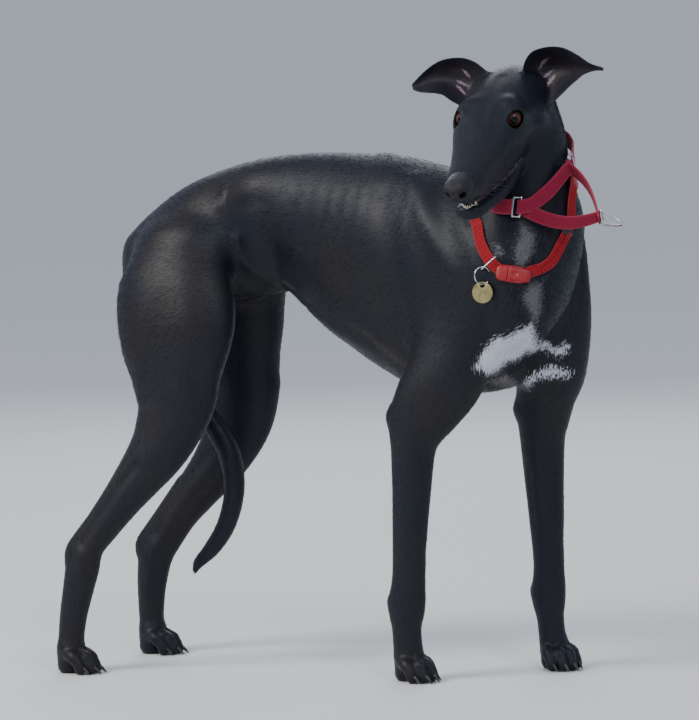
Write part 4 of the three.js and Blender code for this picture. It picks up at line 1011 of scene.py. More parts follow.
def ear_inside(p):
    """1 in the open cup of an ear, and 1 on the painted highlights along the folds inside it."""
    share, ridge = np.zeros(len(p)), np.zeros(len(p))
    for flap in ears.values():
        box = np.flatnonzero(((p > flap.low) & (p < flap.high)).all(1))
        if not len(box):
            continue
        i, j, r = flap.foot(p[box])
        rows, columns = flap.grid.shape[:2]
        t, s = j / (columns - 1), i / (rows - 1)
        close = ramp(-np.linalg.norm(r, axis=1), -5.0, -3.0) * ramp(r @ -EAR_BACK, 0.2, 1.0)
        middle = ramp(np.minimum(t, 1 - t), 0.07, 0.20) * ramp(-s, -0.93, -0.80)
        share[box] = np.maximum(share[box], close * middle)
        lines = []
        # painted highlight: pale lines where the cup's folds would catch light
        for c, a, b in EAR_FOLD_HIGHLIGHTS:
            fold_glint = np.exp(-(((t - c - 0.05 * np.sin(11 * s + 20 * c)) / 0.045) ** 2))
            lines.append(fold_glint * ramp(s, a, a + 0.12) * ramp(-s, -b, -b + 0.12))
        ridge[box] = np.maximum(ridge[box], close * np.max(lines, axis=0))
    return share, ridge


LONG_HAIR = [
    [(330, -110, 640, 22), (322, -128, 560, 24), (318, -90, 500, 26), (300, -60, 450, 24)],
    [(250, -50, 430, 22), (180, -25, 424, 20), (90, -10, 446, 18), (0, 0, 500, 16), (-90, 10, 560, 14)],
    [(-290, -70, 560, 24), (-306, -95, 480, 24), (-290, -112, 400, 18)],
    [(-276, 70, 560, 24), (-280, 80, 470, 22), (-262, 80, 400, 16)],
    [(-330, -10, 560, 10), (-290, -10, 450, 12), (-214, -10, 352, 12), (-182, -10, 270, 12), (-242, -10, 146, 12)],
    [(356, -52, 812, 16), (366, -56, 770, 18), (352, -30, 740, 14)],
]


RUFF = [[(340, -46, 846, 8), (352, -50, 824, 11), (360, -53, 800, 11), (366, -56, 776, 7)]]


def clear_of_collars(p):
    """0 under the webbing, where no tuft stands."""
    free = np.ones(len(p))
    for line, half in ((BAND_LINE, 15), (LOOP_LINE[:13], 15), (STRAP_LINE, 12)):
        rows = [row[:3] for row in line]
        near = np.flatnonzero((np.abs(p - np.mean(rows, axis=0)) < 170).all(1))
        free[near] *= ramp(line_distance(p[near], rows), half, half + 4)
    return free


def put(mesh, name, kind, values):
    attribute = mesh.attributes.new(name, kind, "POINT")
    attribute.data.foreach_set("vector" if kind == "FLOAT_VECTOR" else "value", np.asarray(values, np.float32).ravel())


def dress(obj, co, normals):
    """Writes the skin's markings, bare places, part shares and lie of coat on its points."""
    mesh = obj.data
    on_head_share, on_legs, on_tail = parts(co)
    bare = bare_skin(co)
    cup, ridge = ear_inside(co)
    put(mesh, "white", "FLOAT", patch(co, normals, WHITE, 15))
    put(mesh, "grey", "FLOAT", np.maximum(patch(co, normals, GREY, 16), chin(co)))
    put(mesh, "faint", "FLOAT", np.maximum(within(co, FAINT, 22), 0.0))
    put(mesh, "scar", "FLOAT", within(co, SCARS, 5))
    lip = lips(co)
    put(mesh, "bare", "FLOAT", np.maximum(bare, lip))
    put(mesh, "lip", "FLOAT", lip)
    put(mesh, "cup", "FLOAT", cup)
    put(mesh, "ridge", "FLOAT", ridge)
    put(mesh, "on_head", "FLOAT", on_head_share)
    put(mesh, "on_legs", "FLOAT", np.maximum(on_legs, on_tail))
    lie = lie_of_coat(co, normals)
    put(mesh, "lie", "FLOAT_VECTOR", lie)
    put(mesh, "out", "FLOAT_VECTOR", normals)
    hairy = (1 - np.maximum(bare, lip)) * (1 - cup) * ramp(co[:, 2], 5, 14) * clear_of_collars(co)
    ruff = within(co, RUFF, 8)
    long = np.maximum(patch(co, normals, WHITE + GREY, 16), within(co, LONG_HAIR, 16)) + 2.2 * ruff
    put(mesh, "long", "FLOAT", long)
    legs_and_tail = np.maximum(on_legs, on_tail)
    put(mesh, "fluff_head", "FLOAT", hairy * (on_head_share > 0.5) * (0.4 + 0.6 * ruff + 0.3 * long))
    on_body = (on_head_share <= 0.5) * (legs_and_tail < 0.5)
    put(mesh, "fluff_body", "FLOAT", hairy * on_body * (0.45 + 0.55 * np.minimum(long, 1)))
    put(mesh, "fluff_legs", "FLOAT", hairy * (legs_and_tail >= 0.5) * (0.6 + 0.4 * long))


def strap_frames(line, closed=True):
    """Middle, direction and outward way at each row of a collar."""
    rows = np.array(line, float)
    p = rows[:, :3]
    along = unit(np.roll(p, -1, axis=0) - np.roll(p, 1, axis=0)) if closed else unit(np.gradient(p, axis=0))
    across = square(rows[:, 3:], along)
    out = np.cross(along, across)
    middle = p.mean(0)
    return p, along, across, out * np.sign(np.einsum("ij,ij->i", out, p - middle))[:, None]


def pressed(co):
    """How far each point goes in, so that the collars lie on the skin and not in it."""
    deep = np.zeros(len(co))
    for line, closed, half, thick in (
        (STRAP_LINE, True, 8.0, STRAP_THICK), (BAND_LINE[1:-1], False, 11.0, WEB_THICK),
        (LOOP_LINE[3:12], False, 10.0, WEB_THICK),
    ):
        p, _, across, out = strap_frames(line, closed)
        near = np.flatnonzero((np.abs(co - p.mean(0)) < 150).all(1))
        gap = np.linalg.norm(co[near, None] - p[None], axis=2)
        which = gap.argmin(1)
        r = co[near] - p[which]
        size = np.linalg.norm(r, axis=1)
        over = np.einsum("ij,ij->i", r, out[which]) + thick / 2 + 0.7
        wide = np.abs(np.einsum("ij,ij->i", r, across[which]))
        share = ramp(-wide, -(half + 9), -(half + 1)) * (size < 34) * (over < 16)
        deep[near] = np.maximum(deep[near], np.maximum(over, 0) * share)
    return deep


def make_skin(body_step, head_step):
    body_points, body_quads = nets(body_field, (-420, -210, -8), (400, 150, 800), body_step)
    head_points, head_quads = nets(lambda p: head_field(p, EAR_MARGIN), (20, -310, 600), (446, 60, 914), head_step)
    bm = bmesh.new()
    halves(bm, body_points, body_quads, -1)
    other = bmesh.new()
    halves(other, head_points, head_quads, 1)
    mesh = bpy.data.meshes.new("half")
    other.to_mesh(mesh)
    other.free()
    bm.from_mesh(mesh)
    bpy.data.meshes.remove(mesh)
    rims = [e for e in bm.edges if e.is_boundary]
    near = [e for e in rims if all(abs((np.array(v.co) - SPLIT_AT) @ SPLIT_WAY) < 1.6 for v in e.verts)]
    if len(near) != len(rims):
        raise RuntimeError(f"the skin has {len(rims) - len(near)} open edges away from its join")
    bmesh.ops.bridge_loops(bm, edges=near)
    feet = [f for f in bm.faces if max(v.co.z for v in f.verts) < 46]
    edges = list({e for f in feet for e in f.edges})
    bmesh.ops.subdivide_edges(bm, edges=edges, cuts=1, use_grid_fill=True)
    bmesh.ops.recalc_face_normals(bm, faces=bm.faces[:])
    obj = from_bmesh("skin", bm)
    mesh = obj.data
    count = len(mesh.vertices)
    co = np.empty(count * 3)
    mesh.vertices.foreach_get("co", co)
    co = co.reshape(-1, 3)
    above = (co - SPLIT_AT) @ SPLIT_WAY > 0
    normals = np.empty_like(co)
    for field, mask in ((head_field, above), (body_field, ~above)):
        co[mask] = settle(field, co[mask])
        normals[mask] = unit(slope(field, co[mask]))
    raised = relief(co, body_forms() + head_forms()) * (1 - bare_skin(co) * (to_head(co)[:, 0] < 200))
    co = co + normals * raised[:, None]
    co = co - normals * pressed(co)[:, None]
    co[:, 2] = np.maximum(co[:, 2], 0)
    mesh.vertices.foreach_set("co", to_metres(co).ravel())
    mesh.update()
    dress(obj, co, normals)
    return obj


# Shader building


class Value:
    """A shader socket that can be written into an expression."""

    def __init__(self, shade, socket):
        self.shade, self.socket = shade, socket

    def _math(self, operation, a, b):
        return self.shade.node("ShaderNodeMath", {"operation": operation}, {0: a, 1: b})

    def __add__(self, other):
        return self._math("ADD", self, other)

    def __radd__(self, other):
        return self._math("ADD", other, self)

    def __sub__(self, other):
        return self._math("SUBTRACT", self, other)

    def __rsub__(self, other):
        return self._math("SUBTRACT", other, self)

    def __mul__(self, other):
        return self._math("MULTIPLY", self, other)

    def __rmul__(self, other):
        return self._math("MULTIPLY", other, self)

    def __pow__(self, other):
        return self._math("POWER", self, other)

    def wave(self):
        return self.shade.node("ShaderNodeMath", {"operation": "SINE"}, {0: self})

    def step(self, low, high):
        """0 below low, 1 above high."""
        return self.shade.node(
            "ShaderNodeMapRange", {"interpolation_type": "SMOOTHSTEP"}, {0: self, 1: low, 2: high, 3: 0.0, 4: 1.0}
        )


class Shade:
    """A material being built."""

    def __init__(self, name, **constants):
        self.material = bpy.data.materials.new(name)
        self.material.use_nodes = True
        self.tree = self.material.node_tree
        self.shader = self.tree.nodes["Principled BSDF"]
        for key, value in constants.items():
            self.shader.inputs[key.replace("_", " ")].default_value = value

    def node(self, kind, settings=None, values=None, output=0):
        made = self.tree.nodes.new(kind)
        for key, value in (settings or {}).items():
            if key == "stops":
                self.stops(made.color_ramp, value)
            else:
                setattr(made, key, value)
        for key, value in (values or {}).items():
            if isinstance(value, Value):
                self.tree.links.new(value.socket, made.inputs[key])
            else:
                made.inputs[key].default_value = value
        return Value(self, made.outputs[output])

    @staticmethod
    def stops(colour_ramp, stops):
        while len(colour_ramp.elements) < len(stops):
            colour_ramp.elements.new(0.5)
        for element, (place, colour) in zip(colour_ramp.elements, stops):
            element.position, element.color = place, (*colour, 1)

    def feed(self, key, value):
        self.tree.links.new(value.socket, self.shader.inputs[key])

    def place(self):
        return self.node("ShaderNodeTexCoord", output="Object")

    def combed(self, stretch, turn=(0, 0, 0)):
        """Places counted along turned axes, stretch times a metre."""
        return self.node(
            "ShaderNodeMapping",
            {"vector_type": "TEXTURE"},
            {"Vector": self.place(), "Rotation": turn, "Scale": tuple(1 / s for s in stretch)},
        )

    def noise(self, where, scale, detail=2.0, rough=0.5):
        values = {"Vector": where, "Scale": scale, "Detail": detail, "Roughness": rough}
        return self.node("ShaderNodeTexNoise", {}, values)

    def attribute(self, name):
        return self.node("ShaderNodeAttribute", {"attribute_name": name}, output="Fac")

    def blend(self, share, a, b):
        """a where share is 0, b where it is 1."""
        a = (*a, 1) if isinstance(a, tuple) else a
        b = (*b, 1) if isinstance(b, tuple) else b
        return self.node("ShaderNodeMix", {"data_type": "RGBA"}, {0: share, 6: a, 7: b}, output=2)

    def bump(self, height, distance, strength=1.0):
        values = {"Height": height, "Distance": distance, "Strength": strength}
        self.feed("Normal", self.node("ShaderNodeBump", {}, values))


def head_turn():
    """Rotation that lays the head's own axes on x, y and z."""
    return tuple(Matrix(HEAD_AXES.T.tolist()).to_euler())


def colours_of(settings, *names):
    return {name: tuple(getattr(settings, name)) for name in names}


def coat_colour(shade, colours, hair):
    """The coat's colour, with hair-edged markings. hair is a streaky noise from 0 to 1."""
    drift = shade.noise(shade.place(), 6.0, 2.0)
    base = shade.blend(drift.step(0.42, 0.72), colours["black"], colours["brown"])

    def marking(name, ragged, low, high):
        share = shade.attribute(name)
        return (share + (hair - 0.5) * ragged * share.step(0.0, 0.2)).step(low, high)

    base = shade.blend(marking("faint", 1.2, 0.5, 1.1) * 0.5, base, colours["faint"])
    base = shade.blend(marking("grey", 1.0, 0.40, 0.78) * 0.8, base, colours["grey"])
    base = shade.blend(marking("white", 1.5, 0.38, 0.66), base, colours["white"])
    return shade.blend(marking("scar", 0.6, 0.5, 0.8) * 0.6, base, colours["faint"])


COAT_TINTS = ("black", "brown", "faint", "grey", "white")


def coat_material(settings):
    shade = Shade("coat", **{"Specular_IOR_Level": 0.27, "Sheen_Weight": 0.07, "Sheen_Roughness": 0.35})
    shade.shader.inputs["Sheen Tint"].default_value = (0.55, 0.68, 1.0, 1)
    on_head_share, on_legs = shade.attribute("on_head"), shade.attribute("on_legs")
    trunk_hair = shade.noise(shade.combed((80, 480, 480), (0, -0.37, 0)), 1.0, 3.0, 0.6)
    leg_hair = shade.noise(shade.combed((480, 480, 80)), 1.0, 3.0, 0.6)
    head_hair = shade.noise(shade.combed((110, 640, 640), head_turn()), 1.0, 3.0, 0.6)
    hair = trunk_hair * (1 - on_legs) * (1 - on_head_share) + leg_hair * on_legs * (1 - on_head_share)
    hair = hair + head_hair * on_head_share
    bare, cup, lip = shade.attribute("bare"), shade.attribute("cup"), shade.attribute("lip")
    ridge = shade.attribute("ridge")
    colour = coat_colour(shade, colours_of(settings, *COAT_TINTS), hair)
    colour = shade.blend(cup * 0.85, colour, tuple(settings.ear))
    flecks = shade.noise(shade.place(), 260.0, 3.0)
    # painted highlight: pale lines inside the ear cup where its folds would catch light, broken up by flecks
    colour = shade.blend((ridge * 0.8 + (flecks - 0.5) * 0.9).step(0.30, 0.95) * cup, colour, tuple(settings.ridge))
    colour = shade.blend(bare, colour, tuple(settings.leather))
    mottled = shade.blend(flecks.step(0.40, 0.62), tuple(settings.leather), tuple(settings.lip))
    colour = shade.blend(lip, colour, mottled)
    shade.feed("Base Color", colour)
    broad = shade.noise(shade.place(), 22.0, 2.0)
    rough = 0.41 + broad * 0.10 + (hair - 0.5) * 0.18
    rough = rough * (1 - bare) + bare * 0.34
    shade.feed("Roughness", rough * (1 - cup * 0.12))
    pebbles = shade.node("ShaderNodeTexVoronoi", {"feature": "F1"}, {"Vector": shade.place(), "Scale": 950.0})
    height = hair * (1 - bare) + pebbles * bare * 1.2 + broad * 0.6
    shade.bump(height, 0.00045, 0.8)
    return shade.material


def hair_material(settings):
    """The same markings as the skin, on the tufts."""
    shade = Shade("tufts", **{"Specular_IOR_Level": 0.16})
    streaks = shade.noise(shade.place(), 330.0, 2.0)
    shade.feed("Base Color", coat_colour(shade, colours_of(settings, *COAT_TINTS), streaks))
    shade.feed("Roughness", 0.55 + streaks * 0.2)
    return shade.material


def eye_material(settings):
    shade = Shade("eye", **{"Coat_Weight": 0.45, "Coat_Roughness": 0.03, "Roughness": 0.6, "Specular_IOR_Level": 0.0})
    off = shade.attribute("off_axis")
    streaks = shade.noise(shade.combed((900, 900, 900)), 1.0, 3.0)
    iris, dark = tuple(settings.iris), (0.0015, 0.0015, 0.0015)
    deep = tuple(c * 0.42 for c in iris)
    ring = [
        (0.0, dark), (0.33, dark), (0.365, deep), (0.46, iris), (0.66, iris), (0.79, deep),
        (0.86, (0.006, 0.004, 0.004)), (1.0, (0.016, 0.011, 0.010)),
    ]
    shade.feed("Base Color", shade.node("ShaderNodeValToRGB", {"stops": ring}, {0: off + (streaks - 0.5) * 0.06}))
    return shade.material


def horn_material():
    shade = Shade("claw_horn", **{"Specular_IOR_Level": 0.5})
    grain = shade.noise(shade.combed((300, 300, 60)), 1.0, 3.0)
    shade.feed("Base Color", shade.blend(grain.step(0.35, 0.75), (0.010, 0.009, 0.009), (0.045, 0.036, 0.030)))
    shade.feed("Roughness", 0.30 + grain * 0.22)
    shade.bump(grain, 0.0002, 0.5)
    return shade.material


def wet_material(name, low, high, rough):
    """Tongue and teeth: mottled and moist."""
    shade = Shade(name, **{"Specular_IOR_Level": 0.5, "Subsurface_Weight": 0.12})
    patchy = shade.noise(shade.place(), 420.0, 3.0)
    shade.feed("Base Color", shade.blend(patchy.step(0.3, 0.7), low, high))
    shade.feed("Roughness", rough + patchy * 0.15)
    shade.bump(patchy, 0.00025, 0.5)
    return shade.material


def metal_material(name, tint, rough, worn):
    """Steel wire and brass: bright metal with fine scratches and a dull film."""
    shade = Shade(name, Metallic=1.0)
    film = shade.noise(shade.place(), 130.0, 4.0, 0.6)
    scratch = shade.noise(shade.combed((2400, 500, 900), (0.4, 0.2, 0.9)), 1.0, 2.0)
    shade.feed("Base Color", shade.blend(film.step(0.42, 0.72), tint, worn))
    shade.feed("Roughness", rough + film * 0.14 + scratch.step(0.55, 0.75) * 0.1)
    shade.bump(scratch + film * 0.4, 0.00008, 0.5)
    return shade.material


def plastic_material(name, tint, rough):
    """Moulded plastic: a fine grain, rubbed smoother and paler in places."""
    shade = Shade(name, **{"Specular_IOR_Level": 0.45})
    rubbed = shade.noise(shade.place(), 70.0, 3.0).step(0.5, 0.8)
    grain = shade.noise(shade.place(), 2600.0, 2.0)
    pale = tuple(min(1.0, c * 1.35 + 0.01) for c in tint)
    shade.feed("Base Color", shade.blend(rubbed, tint, pale))
    shade.feed("Roughness", rough - rubbed * 0.12 + grain * 0.08)
    shade.bump(grain, 0.00006, 0.6)
    return shade.material


def webbing_material(name, tint, soil_and_shade, pitch, fuzz=0.25):
    """Woven strap: ribs across it and threads along it, from the strap's own uv map in metres, with painted shade in
    the weave's grooves and a painted highlight along its rounded edges.
    """
    shade = Shade(name, **{"Specular_IOR_Level": 0.2, "Sheen_Weight": fuzz, "Sheen_Roughness": 0.5})
    shade.shader.inputs["Sheen Tint"].default_value = (*[min(1.0, 0.5 + c) for c in tint], 1)
    uv = shade.node("ShaderNodeUVMap", {"uv_map": "strap"})
    along = shade.node("ShaderNodeSeparateXYZ", {}, {0: uv}, output=0)
    across = shade.node("ShaderNodeSeparateXYZ", {}, {0: uv}, output=1)
    ribs = (along * (2 * math.pi / pitch)).wave()
    threads = (across * (2 * math.pi / (pitch * 0.72)) + ribs * 1.2).wave()
    weave = ribs * 0.32 + threads * 0.18 + 0.5
    soiled = shade.noise(shade.place(), 55.0, 4.0)
    # painted shade: the weave's grooves take the darker colour, its crests the full colour
    colour = shade.blend(weave.step(0.15, 0.85), soil_and_shade, tint)
    # soiling: darker patches at random, in the same darker colour
    colour = shade.blend(soiled.step(0.5, 0.85) * 0.35, colour, soil_and_shade)
    # painted highlight: paler along the rounded edges of the strap
    edge_highlight = shade.attribute("edge")
    pale = tuple(min(1.0, c * 1.25 + 0.05) for c in tint)
    shade.feed("Base Color", shade.blend(edge_highlight * 0.55, colour, pale))
    shade.feed("Roughness", 0.66 + soiled * 0.16)
    shade.bump(weave + soiled * 0.2, 0.00022, 0.9)
    return shade.material


def make_eyes():
    points, faces, off = [], [], []
    for side in (1, -1):
        centre, out, slit, _ = eye_frame(side)
        gaze = unit(out + np.array([0.374, -0.927, -0.16]) * 0.55)
        across = square(slit, gaze)
        rise = np.cross(gaze, across)
        base = len(points)
        rings, spokes = 28, 40
        points.append(centre + gaze * EYE_RADIUS)
        off.append(0.0)
        for i in range(1, rings):
            a = math.pi * i / rings
            bulge = 1 + 0.035 * max(0.0, 1 - (a / 0.62) ** 2)
            for j in range(spokes):
                t = 2 * math.pi * j / spokes
                way = gaze * math.cos(a) + (across * math.cos(t) + rise * math.sin(t)) * math.sin(a)
                points.append(centre + way * (EYE_RADIUS - 0.5) * bulge)
                off.append(a)
        points.append(centre - gaze * EYE_RADIUS)
        off.append(math.pi)
        for j in range(spokes):
            k = (j + 1) % spokes
            faces.append((base, base + 1 + j, base + 1 + k))
            last = base + 1 + (rings - 2) * spokes
            faces.append((len(points) - 1, last + k, last + j))
            for i in range(rings - 2):
                row = base + 1 + i * spokes
                faces.append((row + j, row + spokes + j, row + spokes + k, row + k))
    eyes = new_object("eyes", to_metres(points), faces)
    put(eyes.data, "off_axis", "FLOAT", off)
    return eyes


# Swept pieces


def swept(name, rows, section, closed=False, steps=4, widths=None):
    """A section [across, out] in millimetres swept along rows [x, y, z, width direction], with a uv map in metres."""
    rows = np.array(rows, float)
    for i in range(1, len(rows)):
        if rows[i, 3:] @ rows[i - 1, 3:] < 0:
            rows[i, 3:] *= -1
    if closed:
        fine = smooth(np.vstack([rows[-1:], rows, rows[:2]]), steps)[steps : -(steps + 1)]
    else:
        fine = smooth(rows, steps)
    p, n, m = fine[:, :3], len(fine), len(section)
    if closed:
        along = unit(np.roll(p, -1, axis=0) - np.roll(p, 1, axis=0))
    else:
        along = unit(np.gradient(p, axis=0))
    across = square(fine[:, 3:], along)
    out = np.cross(along, across)
    size = np.ones(n) if widths is None else np.interp(np.linspace(0, 1, n), np.linspace(0, 1, len(widths)), widths)
    section = np.asarray(section, float)
    ring = across[:, None] * section[None, :, :1] + out[:, None] * section[None, :, 1:]
    points = (p[:, None] + ring * size[:, None, None]).reshape(-1, 3)
    step = np.linalg.norm(np.diff(np.vstack([p, p[:1]]), axis=0), axis=1)
    length = np.concatenate([[0], np.cumsum(step)]) / 1000
    faces, maps = [], []
    for i in range(n if closed else n - 1):
        for j in range(m):
            k = (j + 1) % m
            a, b = i * m, ((i + 1) % n) * m
            faces.append((a + j, a + k, b + k, b + j))
            v = (section[j, 0] / 1000, section[k, 0] / 1000)
            maps += [(length[i], v[0]), (length[i], v[1]), (length[i + 1], v[1]), (length[i + 1], v[0])]
    if not closed:
        faces += [tuple(range(m))[::-1], tuple(range((n - 1) * m, n * m))]
        maps += [(0.0, s / 1000) for s in section[::-1, 0]] + [(length[n - 1], s / 1000) for s in section[:, 0]]
    obj = new_object(name, to_metres(points), faces)
    layer = obj.data.uv_layers.new(name="strap")
    layer.data.foreach_set("uv", np.array(maps).ravel())
    half = section[:, 0].max()
    # the rounded edges, where the webbing material paints a highlight
    put(obj.data, "edge", "FLOAT", np.tile(ramp(np.abs(section[:, 0]), 0.86 * half, half), n))
    return obj, fine, along, across, out


def strap_section(width, thick):
    """Webbing across: flat faces and rounded selvedges."""
    w, h = width / 2, thick / 2
    turn = [(math.cos(a), math.sin(a)) for a in np.linspace(-math.pi / 2, math.pi / 2, 6)]
    right = [(w - h + h * c, h * s) for c, s in turn]
    top = [(w * f, h) for f in (0.55, 0.2, -0.2, -0.55)]
    return right + top + [(-a, -o) for a, o in right] + [(-a, -o) for a, o in top]


def wire_section(radius, sides=10):
    """Round wire across."""
    turns = [2 * math.pi * i / sides for i in range(sides)]
    return [(radius * math.cos(a), radius * math.sin(a)) for a in turns]


def repeated(name, material, points, long, side, size):
    """Small rounded bars on a rail of points: long and side give each bar its two directions, size its three sizes."""
    rail = bpy.data.meshes.new(name + "_rail")
    rail.from_pydata(to_metres(points).tolist(), [], [])
    put(rail, "long", "FLOAT_VECTOR", long)
    put(rail, "side", "FLOAT_VECTOR", side)
    obj = placed(name, rail)
    tree = bpy.data.node_groups.new(name + "_tree", "GeometryNodeTree")
    sockets = {}
    for label, way, kind in (
        ("Geometry", "INPUT", "Geometry"), ("Bar size", "INPUT", "Vector"), ("Geometry", "OUTPUT", "Geometry"),
    ):
        sockets[label, way] = tree.interface.new_socket(label, in_out=way, socket_type="NodeSocket" + kind)
    nodes, links = tree.nodes, tree.links
    given, result = nodes.new("NodeGroupInput"), nodes.new("NodeGroupOutput")
    bar = nodes.new("GeometryNodeMeshCylinder")
    bar.inputs["Vertices"].default_value, bar.inputs["Radius"].default_value = 6, 0.5
    bar.inputs["Depth"].default_value = 1.0
    turn = nodes.new("FunctionNodeAxesToRotation")
    turn.primary_axis, turn.secondary_axis = "Z", "X"
    for socket, attribute in ((0, "long"), (1, "side")):
        read = nodes.new("GeometryNodeInputNamedAttribute")
        read.data_type = "FLOAT_VECTOR"
        read.inputs["Name"].default_value = attribute
        links.new(read.outputs["Attribute"], turn.inputs[socket])
    each = nodes.new("GeometryNodeInstanceOnPoints")
    real, painted = nodes.new("GeometryNodeRealizeInstances"), nodes.new("GeometryNodeSetMaterial")
    painted.inputs["Material"].default_value = material
    links.new(given.outputs["Geometry"], each.inputs["Points"])
    links.new(bar.outputs["Mesh"], each.inputs["Instance"])
    links.new(turn.outputs[0], each.inputs["Rotation"])
    links.new(given.outputs["Bar size"], each.inputs["Scale"])
    links.new(each.outputs[0], real.inputs[0])
    links.new(real.outputs[0], painted.inputs["Geometry"])
    links.new(painted.outputs[0], result.inputs[0])
    modifier = obj.modifiers.new("repeat", "NODES")
    modifier.node_group = tree
    modifier[sockets["Bar size", "INPUT"].identifier] = tuple(s / 1000 for s in size)
    return settled_mesh(obj, material)


def settled_mesh(obj, material):
    """The evaluated result of a piece's nodes as its own plain mesh."""
    bpy.context.view_layer.update()
    graph = bpy.context.evaluated_depsgraph_get()
    mesh = bpy.data.meshes.new_from_object(obj.evaluated_get(graph))
    if not len(mesh.polygons):
        raise RuntimeError(f"{obj.name} came out empty")
    obj.modifiers.clear()
    name, old = obj.name, obj.data
    bpy.data.objects.remove(obj)
    bpy.data.meshes.remove(old)
    made = placed(name, mesh)
    mesh.materials.clear()
    mesh.materials.append(material)
    mesh.polygons.foreach_set("material_index", [0] * len(mesh.polygons))
    return made


# Tufts

CHARTS = {
    "trunk": (TRUNK, (0, 1, 0)), "neck": (NECK, (1, 0, 0)), "head": (SKULL, HEAD_Z), "tail": (TAIL, (0, 1, 0)),
    "fore_right": (FORE_RIGHT, (1, 0, 0)), "fore_left": (FORE_LEFT, (1, 0, 0)),
    "hind_right": (HIND_RIGHT, (1, 0, 0)), "hind_left": (HIND_LEFT, (1, 0, 0)),
}
PATCH = 0.003


def chart_of(p):
    """Each root's place on an unwrap of the skin: round and along its own part, each part in its own cell of nine."""
    best, uv = np.full(len(p), 1e9), np.zeros((len(p), 2))
    for cell, (rows, ref) in enumerate(CHARTS.values()):
        line = np.array([row[:4] for row in rows], float)
        total = len(line) - 1
        for i in range(total):
            a, b = line[i], line[i + 1]
            way = b[:3] - a[:3]
            s = np.clip((p - a[:3]) @ way / (way @ way), 0, 1)
            r = p - a[:3] - s[:, None] * way
            away = np.linalg.norm(r, axis=1) / (a[3] + (b[3] - a[3]) * s)
            closer = away < best
            along = unit(way)
            ahead = square(ref, along)
            angle = np.arctan2(r @ np.cross(along, ahead), r @ ahead) / (2 * math.pi) + 0.5
            best[closer] = away[closer]
            place = np.stack([angle, (i + s) / total], 1) * 0.92 + 0.04
            uv[closer] = ((place + [cell % 3, cell // 3]) / 3)[closer]
    return uv


